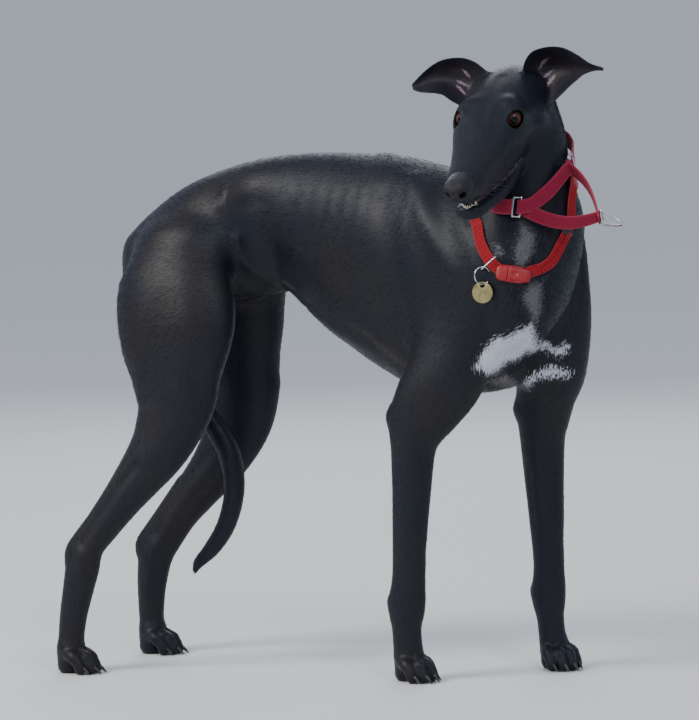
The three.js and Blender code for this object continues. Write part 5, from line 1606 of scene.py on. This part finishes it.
def tufts(name, skin, share, count, length, width, lean, material, seed):
    """Short hairs over one part of the skin, laid along its coat."""
    obj = placed(name, skin.data.copy())
    tree = bpy.data.node_groups.new(name + "_tree", "GeometryNodeTree")
    named = {}
    for label, kind in (
        ("Geometry", "Geometry"), ("Density", "Float"), ("Length", "Float"), ("Width", "Float"), ("Lean", "Float"),
        ("Seed", "Int"),
    ):
        named[label] = tree.interface.new_socket(label, in_out="INPUT", socket_type="NodeSocket" + kind)
    tree.interface.new_socket("Geometry", in_out="OUTPUT", socket_type="NodeSocketGeometry")
    nodes, links = tree.nodes, tree.links

    def read(attribute, kind="FLOAT"):
        found = nodes.new("GeometryNodeInputNamedAttribute")
        found.data_type = kind
        found.inputs["Name"].default_value = attribute
        return found.outputs["Attribute"]

    def maths(kind, operation, *values):
        made = nodes.new(kind)
        made.operation = operation
        for socket, value in zip(made.inputs, values):
            if isinstance(value, bpy.types.NodeSocket):
                links.new(value, socket)
            else:
                socket.default_value = value
        return made.outputs["Vector"] if kind == "ShaderNodeVectorMath" else made.outputs[0]

    def any_number(low, high, offset):
        made = nodes.new("FunctionNodeRandomValue")
        vector = isinstance(low, tuple)
        made.data_type = "FLOAT_VECTOR" if vector else "FLOAT"
        first = 0 if vector else 2
        made.inputs[first].default_value, made.inputs[first + 1].default_value = low, high
        links.new(maths("ShaderNodeMath", "ADD", given.outputs["Seed"], offset), made.inputs["Seed"])
        return made.outputs[0 if vector else 1]

    given, result = nodes.new("NodeGroupInput"), nodes.new("NodeGroupOutput")
    spread = nodes.new("GeometryNodeDistributePointsOnFaces")
    spread.distribute_method = "RANDOM"
    links.new(given.outputs["Geometry"], spread.inputs["Mesh"])
    links.new(maths("ShaderNodeMath", "MULTIPLY", given.outputs["Density"], read(share)), spread.inputs["Density"])
    links.new(given.outputs["Seed"], spread.inputs["Seed"])
    hair = nodes.new("GeometryNodeMeshCone")
    hair.fill_type = "NGON"
    hair.inputs["Vertices"].default_value = 3
    hair.inputs["Radius Top"].default_value, hair.inputs["Radius Bottom"].default_value = 0.0, 0.5
    hair.inputs["Depth"].default_value = 1.0
    out = read("out", "FLOAT_VECTOR")
    rise = maths("ShaderNodeVectorMath", "SCALE", out)
    links.new(given.outputs["Lean"], rise.node.inputs["Scale"])
    way = maths("ShaderNodeVectorMath", "ADD", read("lie", "FLOAT_VECTOR"), rise)
    way = maths("ShaderNodeVectorMath", "ADD", way, any_number((-0.16,) * 3, (0.16,) * 3, 5))
    turn = nodes.new("FunctionNodeAxesToRotation")
    turn.primary_axis, turn.secondary_axis = "Z", "X"
    links.new(way, turn.inputs[0])
    links.new(out, turn.inputs[1])
    tall = maths("ShaderNodeMath", "MULTIPLY", given.outputs["Length"], any_number(0.6, 1.25, 9))
    tall = maths("ShaderNodeMath", "MULTIPLY", tall, maths("ShaderNodeMath", "MULTIPLY_ADD", read("long"), 0.9, 1.0))
    size = nodes.new("ShaderNodeCombineXYZ")
    for axis, value in enumerate((given.outputs["Width"], given.outputs["Width"], tall)):
        links.new(value, size.inputs[axis])
    sunk = nodes.new("GeometryNodeSetPosition")
    links.new(spread.outputs["Points"], sunk.inputs["Geometry"])
    root = maths("ShaderNodeVectorMath", "SCALE", out)
    root.node.inputs["Scale"].default_value = -0.0003
    links.new(root, sunk.inputs["Offset"])
    each = nodes.new("GeometryNodeInstanceOnPoints")
    real, painted = nodes.new("GeometryNodeRealizeInstances"), nodes.new("GeometryNodeSetMaterial")
    painted.inputs["Material"].default_value = material
    links.new(sunk.outputs[0], each.inputs["Points"])
    links.new(hair.outputs["Mesh"], each.inputs["Instance"])
    links.new(turn.outputs[0], each.inputs["Rotation"])
    links.new(size.outputs[0], each.inputs["Scale"])
    links.new(each.outputs[0], real.inputs[0])
    links.new(real.outputs[0], painted.inputs["Geometry"])
    links.new(painted.outputs[0], result.inputs[0])
    area = sum(f.area * np.mean([shares_of(skin, share)[v] for v in f.vertices]) for f in skin.data.polygons)
    modifier = obj.modifiers.new("tufts", "NODES")
    modifier.node_group = tree
    for label, value in (
        ("Density", count / area), ("Length", length), ("Width", width), ("Lean", lean), ("Seed", seed),
    ):
        modifier[named[label].identifier] = value
    obj = settled_mesh(obj, material)
    mesh = obj.data
    co = np.empty(len(mesh.vertices) * 3)
    mesh.vertices.foreach_get("co", co)
    co = co.reshape(-1, 4, 3) * 1000 + [MIDDLE[0], MIDDLE[1], 0]
    uv = chart_of(co.mean(1))
    corner = np.array([(0, 0), (1, 0), (0.5, 1), (0.5, 0.4)]) * PATCH - PATCH / 2
    which = np.empty(len(mesh.loops), int)
    mesh.loops.foreach_get("vertex_index", which)
    layer = mesh.uv_layers.new(name="OFBake")
    layer.data.foreach_set("uv", (uv[which // 4] + corner[which % 4]).ravel())
    for other in [u.name for u in mesh.uv_layers if u.name != "OFBake"]:
        mesh.uv_layers.remove(mesh.uv_layers[other])
    for spare in ("lie", "out", "long", "fluff_head", "fluff_body", "fluff_legs", "cup", "ridge", "lip", "bare"):
        if spare in mesh.attributes:
            mesh.attributes.remove(mesh.attributes[spare])
    return obj


SHARES = {}


def shares_of(skin, name):
    if name not in SHARES:
        values = np.empty(len(skin.data.vertices))
        skin.data.attributes[name].data.foreach_get("value", values)
        SHARES[name] = values
    return SHARES[name]


# Claws, mouth and whiskers


def joined(name, pieces):
    """Several objects as one."""
    bm = bmesh.new()
    for piece in pieces:
        bm.from_mesh(piece.data)
        mesh = piece.data
        bpy.data.objects.remove(piece)
        bpy.data.meshes.remove(mesh)
    return from_bmesh(name, bm)


def make_claws(radius):
    horn = [1.0, 0.98, 0.9, 0.74, 0.5, 0.18]
    pieces = []
    for name in PAWS:
        at = paw(name)[1]
        for across, forth in TOES:
            rows = []
            for k in range(6):
                s = k / 5
                p = at(forth + 2 + 15.5 * s, across * (1.05 + 0.01 * k), 11.5 - 9.8 * s**1.7)
                rows.append((*p, *(at(0, 1, 0) - at(0, 0, 0))))
            pieces.append(swept("claw", rows, wire_section(radius, 12), steps=3, widths=horn)[0])
    return joined("claws", pieces)


def make_whiskers(length, radius):
    """Feelers on the muzzle, chin and brows."""
    random = np.random.default_rng(11)
    rows = [(side, i, j) for side in (1, -1) for i in range(4) for j in range(2)]
    spots = [((206 + 11 * i, side * (19 - 1.1 * i), -16 - 5 * j), 1.0) for side, i, j in rows]
    spots += [((236 - 14 * i, side * 9, -55), 0.6) for side in (1, -1) for i in range(3)]
    spots += [((126, side * (28 + 4 * i), 33), 0.6) for side in (1, -1) for i in range(2)]
    pieces = []
    for (x, y, z), share in spots:
        root = settle(head_field, on_head((x, y, z))[None], 6)[0]
        out = unit(slope(head_field, root[None]))[0]
        way = unit(out * 0.75 - HEAD_X * 0.55 + random.normal(0, 0.12, 3))
        reach = length * share * random.uniform(0.7, 1.1)
        side = square(HEAD_Z, way)
        rows = [(*(root - out * 0.5 + way * reach * s + [0, 0, -5 * s * s]), *side) for s in np.linspace(0, 1, 6)]
        pieces.append(swept("whisker", rows, wire_section(radius, 5), steps=2, widths=[1, 0.85, 0.5, 0.12])[0])
    return joined("whiskers", pieces)


TONGUE = [head_row(196, -41, 11, 4, 5), head_row(222, -38, 12, 3.5, 5), head_row(240, -37, 9, 2.5, 4)]


def make_tongue(step):
    """Tongue with a groove down its middle."""
    flesh = Limb(TONGUE, front=HEAD_Z, steps=6, power=2.0)
    groove = rope([(*on_head((x, 0, -33)), 2.2) for x in (190, 246)])

    def field(p):
        return melt(flesh(p), carve(flesh(p) - 0.4, groove(p), 2), 0.1)

    low, high = flesh.start.min(0) - 20, flesh.end.max(0) + 20
    points, faces = nets(field, low, high, step)
    points = settle(field, points)
    return new_object("tongue_flesh", to_metres(points), faces)


BUCKLE_AT, BUCKLE_OUT, BUCKLE_ALONG = (306.9, -142.5, 581.9), (0.232, -0.933, 0.275), (0.946, 0.289, -0.144)


def make_buckle(step):
    """Side-release buckle: a crowned shell with two open sides and a seam where its halves meet."""
    along, out = unit(BUCKLE_ALONG), unit(BUCKLE_OUT)
    side = np.cross(out, along)

    def at(a, s, o=0.0):
        return np.array(BUCKLE_AT) + along * a + side * s + out * o

    shape = [(-21, 9.0, 3.4), (-16, 11.2, 4.6), (-6, 11.8, 5.0), (6, 11.0, 5.0), (15, 9.8, 4.5), (21, 8.8, 3.2)]
    shell = Limb([(*at(a, 0), half, deep, deep) for a, half, deep in shape], front=out, steps=5, power=3.4)
    prongs = rope([(*at(-3, 10.4), 2.1), (*at(13, 9.4), 2.1)]), rope([(*at(-3, -10.4), 2.1), (*at(13, -9.4), 2.1)])
    dent = ball(at(3, 0, 9.6), 6.6)

    def field(p):
        r = p - BUCKLE_AT
        a, s, o = r @ along, r @ side, r @ out
        whole = shell(p)
        slots = np.maximum(np.maximum(np.abs(a - 5) - 7.5, 8.6 - np.abs(s)), np.abs(o) - 6)
        whole = carve(whole, slots, 1.0)
        whole = melt(melt(whole, prongs[0](p), 0.8), prongs[1](p), 0.8)
        seam = np.maximum(np.abs(a + 8) - 0.55, 3.9 - o)
        whole = carve(whole, seam, 0.5)
        whole = carve(whole, dent(p), 0.8)
        return carve(whole, np.maximum(np.abs(a - 17.5) - 0.5, 3.6 - o), 0.5)

    low, high = np.array(BUCKLE_AT) - 28, np.array(BUCKLE_AT) + 28
    points, faces = nets(field, low, high, step)
    return new_object("buckle_shell", to_metres(settle(field, points, 1)), faces)


def copied(name, node, bevel):
    """A merged copy of a moulded or cut node, with its edges broken."""
    source = bpy.data.objects[node]
    bm = bmesh.new()
    bm.from_mesh(source.data)
    bm.transform(source.matrix_world)
    bmesh.ops.remove_doubles(bm, verts=bm.verts[:], dist=0.00002)
    bmesh.ops.dissolve_limit(bm, angle_limit=math.radians(2), verts=bm.verts[:], edges=bm.edges[:])
    obj = from_bmesh(name, bm)
    edge = obj.modifiers.new("edges", "BEVEL")
    edge.width, edge.segments, edge.limit_method, edge.angle_limit = bevel, 2, "ANGLE", math.radians(28)
    edge.harden_normals = True
    return obj


def tint(name, value, description):
    """A colour that a user can change."""
    return bpy.props.FloatVectorProperty(
        name=name, description=description, default=value, subtype="COLOR", min=0, max=1
    )


class SkinSettings(bpy.types.PropertyGroup):
    body_step: bpy.props.FloatProperty(name="Body step", description="Grid step of the body, mm", default=5.25, min=3.0)
    head_step: bpy.props.FloatProperty(name="Head step", description="Grid step of the head, mm", default=2.25, min=1.2)
    black: tint("Black", (0.0060, 0.0074, 0.0140), "Main coat colour")
    brown: tint("Brown black", (0.0125, 0.0102, 0.0112), "Where the coat turns brownish")
    faint: tint("Thin coat", (0.075, 0.062, 0.052), "Belly and scars")
    grey: tint("Grey hairs", (0.17, 0.16, 0.165), "Throat stripes and chin")
    white: tint("White hairs", (0.60, 0.61, 0.68), "Chest patches")
    leather: tint("Leather", (0.010, 0.009, 0.011), "Nose and eye rims")
    lip: tint("Lips", (0.155, 0.085, 0.105), "Inside of the lips")
    ear: tint("Ear lining", (0.014, 0.008, 0.012), "Inside of the ears")
    # painted highlight colour for the folds inside the ears
    ridge: tint("Ear ridges", (0.30, 0.20, 0.26), "Pale folds inside the ears")
    iris: tint("Iris", (0.085, 0.031, 0.021), "Iris of the eyes")


class CoatSettings(bpy.types.PropertyGroup):
    head_count: bpy.props.IntProperty(name="Head tufts", description="Tufts on the head", default=34000, min=100)
    body_count: bpy.props.IntProperty(name="Body tufts", description="Tufts on neck and trunk", default=46000, min=100)
    legs_count: bpy.props.IntProperty(name="Leg tufts", description="Tufts on legs and tail", default=40000, min=100)
    length: bpy.props.FloatProperty(name="Length", description="Of one tuft", default=0.0075, unit="LENGTH")
    width: bpy.props.FloatProperty(name="Width", description="Of one tuft", default=0.00042, unit="LENGTH")
    whisker: bpy.props.FloatProperty(name="Whiskers", description="Longest whisker, mm", default=34.0, min=5)
    claw: bpy.props.FloatProperty(name="Claws", description="Radius of a claw, mm", default=3.1, min=1)


class CollarSettings(bpy.types.PropertyGroup):
    wide: bpy.props.FloatProperty(name="Wide webbing", description="Width of the slip collar, mm", default=22.0, min=8)
    narrow: bpy.props.FloatProperty(
        name="Narrow webbing", description="Width of the tag collar, mm", default=16.0, min=6
    )
    crimson: tint("Slip collar", (0.36, 0.011, 0.050), "Wide webbing")
    red: tint("Tag collar", (0.46, 0.016, 0.026), "Narrow webbing")
    buckle: tint("Buckle", (0.31, 0.008, 0.013), "Moulded buckle")
    dark: tint("Keeper", (0.012, 0.014, 0.018), "Moulded keeper")
    brass: tint("Tag", (0.42, 0.37, 0.17), "Bare tag")
    steel: tint("Steel", (0.62, 0.62, 0.63), "Wire fittings")


def finish(piece, material, slot, *nodes):
    """Last steps on every piece: its material when one is given, hiding the nodes it stands for, and parenting it to
    its body.
    """
    if material is not None:
        piece.data.materials.clear()
        piece.data.materials.append(material)
    if nodes:
        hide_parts(*nodes)
    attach(piece, "root")
    return piece


class GREYHOUND_OT_skin(bpy.types.Operator):
    """Skin of the whole dog, in one piece"""

    bl_idname = "greyhound.skin"
    bl_label = "Skin"

    def execute(self, context):
        s = context.scene.greyhound_skin
        finish(make_skin(s.body_step, s.head_step), coat_material(s), "coat", *FLESH)
        return {"FINISHED"}


class GREYHOUND_OT_eyes(bpy.types.Operator):
    """Both eyes, with pupil, iris and a wet front"""

    bl_idname = "greyhound.eyes"
    bl_label = "Eyes"

    def execute(self, context):
        finish(make_eyes(), eye_material(context.scene.greyhound_skin), "eye", "eye_left", "eye_right")
        return {"FINISHED"}


class GREYHOUND_OT_mouth(bpy.types.Operator):
    """Tongue and lower teeth"""

    bl_idname = "greyhound.mouth"
    bl_label = "Mouth"

    def execute(self, context):
        wet = wet_material("tongue", (0.16, 0.045, 0.055), (0.26, 0.085, 0.095), 0.32)
        finish(make_tongue(1.0), wet, "tongue", "tongue")
        teeth = wet_material("teeth", (0.42, 0.36, 0.25), (0.66, 0.61, 0.50), 0.22)
        finish(copied("lower_teeth", "teeth_lower", 0.0002), teeth, "teeth", "teeth_lower")
        return {"FINISHED"}


class GREYHOUND_OT_claws(bpy.types.Operator):
    """Claws of all four paws, and the whiskers"""

    bl_idname = "greyhound.claws"
    bl_label = "Claws and whiskers"

    def execute(self, context):
        s = context.scene.greyhound_coat
        finish(make_claws(s.claw), horn_material(), "nose")
        finish(make_whiskers(s.whisker, 0.34), horn_material(), "coat")
        return {"FINISHED"}


class GREYHOUND_OT_tufts(bpy.types.Operator):
    """Short hairs laid over the skin, in three pieces"""

    bl_idname = "greyhound.tufts"
    bl_label = "Tufts"

    def execute(self, context):
        s = context.scene.greyhound_coat
        skin = bpy.data.objects["skin"]
        material = hair_material(context.scene.greyhound_skin)
        for part, count, share, lean, seed in (
            ("head", s.head_count, 0.62, 0.10, 3), ("body", s.body_count, 1.0, 0.12, 5),
            ("legs", s.legs_count, 0.85, 0.10, 7),
        ):
            width = s.width * (0.8 if part == "head" else 1)
            length = s.length * share
            piece = tufts(f"coat_{part}", skin, f"fluff_{part}", count, length, width, lean, material, seed)
            finish(piece, None, "coat")
        return {"FINISHED"}


class GREYHOUND_OT_slip_collar(bpy.types.Operator):
    """Wide slip collar: band, loop and stitching"""

    bl_idname = "greyhound.slip_collar"
    bl_label = "Slip collar"

    def execute(self, context):
        s = context.scene.greyhound_collars
        crimson = tuple(s.crimson)
        # the second colour of each webbing is the painted shade of its weave's grooves and the colour of its soiling
        web = webbing_material("slip_webbing", crimson, tuple(c * 0.45 for c in crimson), 0.0022)
        thread = webbing_material("slip_thread", tuple(min(1, c * 1.2 + 0.04) for c in crimson), crimson, 0.001)
        rails = {key: [] for key in ("points", "long", "side")}
        for name, rows, width, closed, node in (
            ("slip_band", BAND_LINE, s.wide, False, "martingale_band"),
            ("slip_loop", LOOP_LINE, s.wide - 2, True, "martingale_loop"),
        ):
            piece, fine, along, across, out = swept(name, rows, strap_section(width, WEB_THICK), closed, 6)
            finish(piece, web, "webbing", node)
            reach = np.concatenate([[0], np.cumsum(np.linalg.norm(np.diff(fine[:, :3], axis=0), axis=1))])
            marks = np.arange(8, reach[-1] - 8, 4.2)
            for face in (1, -1):
                for row in (1, -1):
                    p, l, a, o = (
                        np.stack([np.interp(marks, reach, table[:, k]) for k in range(3)], 1)
                        for table in (fine[:, :3], along, across, out)
                    )
                    rails["points"].append(p + a * row * (width / 2 - 2.3) + o * face * (WEB_THICK / 2 + 0.05))
                    rails["long"].append(l)
                    rails["side"].append(a)
        points, long, side = (np.concatenate(rails[key]) for key in ("points", "long", "side"))
        finish(repeated("slip_stitches", thread, points, long, side, (0.7, 0.5, 2.9)), None, "webbing")
        return {"FINISHED"}


class GREYHOUND_OT_tag_collar(bpy.types.Operator):
    """Narrow ribbed collar that carries the tag"""

    bl_idname = "greyhound.tag_collar"
    bl_label = "Tag collar"

    def execute(self, context):
        s = context.scene.greyhound_collars
        red = tuple(s.red)
        # the second colour is the painted shade of the weave's grooves and the colour of its soiling
        web = webbing_material("tag_webbing", red, tuple(c * 0.5 for c in red), 0.0019, 0.1)
        strap, *whole = swept("tag_strap", STRAP_LINE, strap_section(s.narrow, STRAP_THICK), True, 5)
        finish(strap, web, "webbing_narrow", "narrow_collar_1", "narrow_collar_2", "narrow_collar_3")
        at, _, wide, off = strap_frames(STRAP_LINE)
        half = s.narrow * 0.46
        rows = np.hstack([at + off * STRAP_THICK - wide * s.narrow / 4, wide])[DOUBLED]
        second, *doubled = swept("tag_strap_return", rows, strap_section(half, 2.0), False, 5)
        finish(second, web, "webbing_narrow")
        self.ribs("tag_strap_ribs", web, whole, s.narrow - 2.0, at.mean(0))
        self.ribs("tag_strap_return_ribs", web, doubled, half - 0.8, at.mean(0))
        return {"FINISHED"}

    def ribs(self, name, web, frames, width, middle):
        """Bars across the outer face of one layer, clear of the fittings."""
        fine, along, across, out = frames
        out = out * np.sign(np.einsum("ij,ij->i", out, fine[:, :3] - middle))[:, None]
        reach = np.concatenate([[0], np.cumsum(np.linalg.norm(np.diff(fine[:, :3], axis=0), axis=1))])
        marks = np.arange(1, reach[-1] - 1, 3.0)
        p, l, a, o = (
            np.stack([np.interp(marks, reach, table[:, k]) for k in range(3)], 1)
            for table in (fine[:, :3], along, across, out)
        )
        fittings = [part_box(node) for node in ("buckle", "adjuster", "keeper")]
        place = to_metres(p)
        free = np.ones(len(p), bool)
        for low, high in fittings:
            middle = (np.array(low) + np.array(high)) / 2
            free &= np.linalg.norm(place - middle, axis=1) > np.linalg.norm(np.array(high) - np.array(low)) * 0.32
        points = (p + o * 1.1)[free]
        finish(repeated(name, web, points, a[free], l[free], (1.7, 1.5, width)), None, "webbing_narrow")


class GREYHOUND_OT_fittings(bpy.types.Operator):
    """Wire slides and rings, buckle, adjuster, keeper, hook and tag"""

    bl_idname = "greyhound.fittings"
    bl_label = "Fittings"

    def execute(self, context):
        s = context.scene.greyhound_collars
        steel = metal_material("steel_wire", tuple(s.steel), 0.16, (0.42, 0.42, 0.43))
        for node, (at, along, wide) in SLIDES.items():
            at, along = np.array(at, float), unit(along)
            side = square(wide, along)
            flat = np.cross(along, side)
            corners = [(1, 0.9), (0.6, 1), (-0.6, 1), (-1, 0.9), (-1, -0.9), (-0.6, -1), (0.6, -1), (1, -0.9)]
            rows = [(*(at + along * a * SLIDE_REACH + side * b * SLIDE_HALF), *flat) for a, b in corners]
            finish(swept(f"{node}_wire", rows, wire_section(WIRE, 12), True, 4)[0], steel, "steel", node)
        finish(swept("end_ring_wire", RING_LINE, wire_section(WIRE, 12), True, 5)[0], steel, "steel", "end_ring")
        finish(swept("tag_hook_wire", HOOK_LINE, wire_section(1.1, 10), True, 5)[0], steel, "steel", "tag_hook")
        middle, side, radius, wire = SPLIT_RING
        side = unit(side)
        flat = np.cross(side, [0, 0, 1])
        turn = []
        for k in range(36):
            a = 2 * math.pi * k / 36
            reach = side * radius * math.cos(a) + np.array([0, 0, radius * math.sin(a)])
            turn.append((*(np.array(middle) + reach + flat * 0.5 * wire), *flat))
        finish(swept("split_ring_wire", turn, wire_section(wire, 10), True, 2)[0], steel, "steel", "split_ring")
        red = plastic_material("buckle_plastic", tuple(s.buckle), 0.40)
        finish(make_buckle(0.8), red, "buckle", "buckle")
        finish(copied("adjuster_shell", "adjuster", 0.0006), red, "buckle", "adjuster")
        dark = plastic_material("keeper_plastic", tuple(s.dark), 0.35)
        finish(copied("keeper_shell", "keeper", 0.0005), dark, "keeper", "keeper")
        brass = metal_material("brass_tag", tuple(s.brass), 0.34, (0.26, 0.22, 0.10))
        finish(copied("tag_disc", "tag", 0.0003), brass, "brass", "tag")
        return {"FINISHED"}


class StageSettings(bpy.types.PropertyGroup):
    distance: bpy.props.FloatProperty(name="Camera distance", default=7.0, unit="LENGTH", description="From the dog")
    height: bpy.props.FloatProperty(name="Camera height", default=1.0, unit="LENGTH", description="Above the floor")
    lens: bpy.props.FloatProperty(name="Lens", default=242.5, description="Focal length in millimetres")


class GREYHOUND_OT_stage(bpy.types.Operator):
    """Floor, lights and camera."""

    bl_idname = "greyhound.stage"
    bl_label = "Stage"

    def execute(self, context):
        s = context.scene.greyhound_stage
        shift = -np.array([MIDDLE[0], MIDDLE[1], 0]) / 1000
        az, dip, roll = math.radians(22), math.atan(383 / 4850), math.radians(1.2)
        cam = bpy.data.cameras.new("camera")
        cam.lens, cam.sensor_width = s.lens, 36
        cam.clip_end = 2000
        obj = placed("camera", cam)
        obj.location = Vector((s.distance * math.sin(az), -s.distance * math.cos(az), s.height)) + Vector(shift)
        obj.matrix_world = (
            Matrix.Translation(obj.location)
            @ Matrix.Rotation(az, 4, "Z")
            @ Matrix.Rotation(math.pi / 2 - dip, 4, "X")
            @ Matrix.Rotation(-roll, 4, "Z")
        )
        context.scene.camera = obj
        bm = bmesh.new()
        bmesh.ops.create_grid(bm, x_segments=2, y_segments=2, size=500)
        floor = from_bmesh("floor", bm)
        ground = Shade("floor", Base_Color=(0.72, 0.72, 0.70, 1), Roughness=0.8)
        floor.data.materials.append(ground.material)
        world = bpy.data.worlds.new("studio")
        world.use_nodes = True
        world.node_tree.nodes["Background"].inputs[0].default_value = (0.70, 0.78, 0.92, 1)
        world.node_tree.nodes["Background"].inputs[1].default_value = 0.75
        context.scene.world = world
        for name, place, size, power, colour in (
            ("key", (-2.2, -2.6, 3.4), 2.2, 160, (1.0, 0.97, 0.93)),
            ("fill", (2.6, -3.0, 4.2), 1.4, 56, (0.90, 0.94, 1.0)),
            ("back", (-1.2, 3.4, 2.6), 2.6, 48, (0.92, 0.95, 1.0)),
        ):
            light = bpy.data.lights.new(name, "AREA")
            light.shape, light.size, light.energy, light.color = "DISK", size, power, colour
            lamp = placed(name, light)
            lamp.location = place
            lamp.rotation_euler = (Vector((0, 0, 0.5)) - Vector(place)).to_track_quat("-Z", "Y").to_euler()
        return {"FINISHED"}


SETTINGS = {
    "greyhound_skin": SkinSettings, "greyhound_coat": CoatSettings, "greyhound_collars": CollarSettings,
    "greyhound_stage": StageSettings,
}
OPERATORS = [
    GREYHOUND_OT_skin, GREYHOUND_OT_eyes, GREYHOUND_OT_mouth, GREYHOUND_OT_claws, GREYHOUND_OT_tufts,
    GREYHOUND_OT_slip_collar, GREYHOUND_OT_tag_collar, GREYHOUND_OT_fittings, GREYHOUND_OT_stage,
]


class GREYHOUND_PT_sidebar(bpy.types.Panel):
    """Sizes and colours of the greyhound, with a button for each group of pieces"""

    bl_idname = "GREYHOUND_PT_sidebar"
    bl_label = "Greyhound"
    bl_space_type, bl_region_type, bl_category = "VIEW_3D", "UI", "Greyhound"

    def draw(self, context):
        for operator in OPERATORS:
            self.layout.operator(operator.bl_idname)
        for name, settings in SETTINGS.items():
            box = self.layout.box()
            for prop in settings.__annotations__:
                box.prop(getattr(context.scene, name), prop)


CLASSES = [*SETTINGS.values(), *OPERATORS, GREYHOUND_PT_sidebar]


def register():
    for cls in CLASSES:
        bpy.utils.register_class(cls)
    for name, cls in SETTINGS.items():
        setattr(bpy.types.Scene, name, bpy.props.PointerProperty(type=cls))


def unregister():
    for name, cls in SETTINGS.items():
        delattr(bpy.types.Scene, name)
    for cls in reversed(CLASSES):
        bpy.utils.unregister_class(cls)


def main():
    register()
    for operator in OPERATORS:
        group, name = operator.bl_idname.split(".")
        getattr(getattr(bpy.ops, group), name)()


if __name__ == "__main__":
    main()
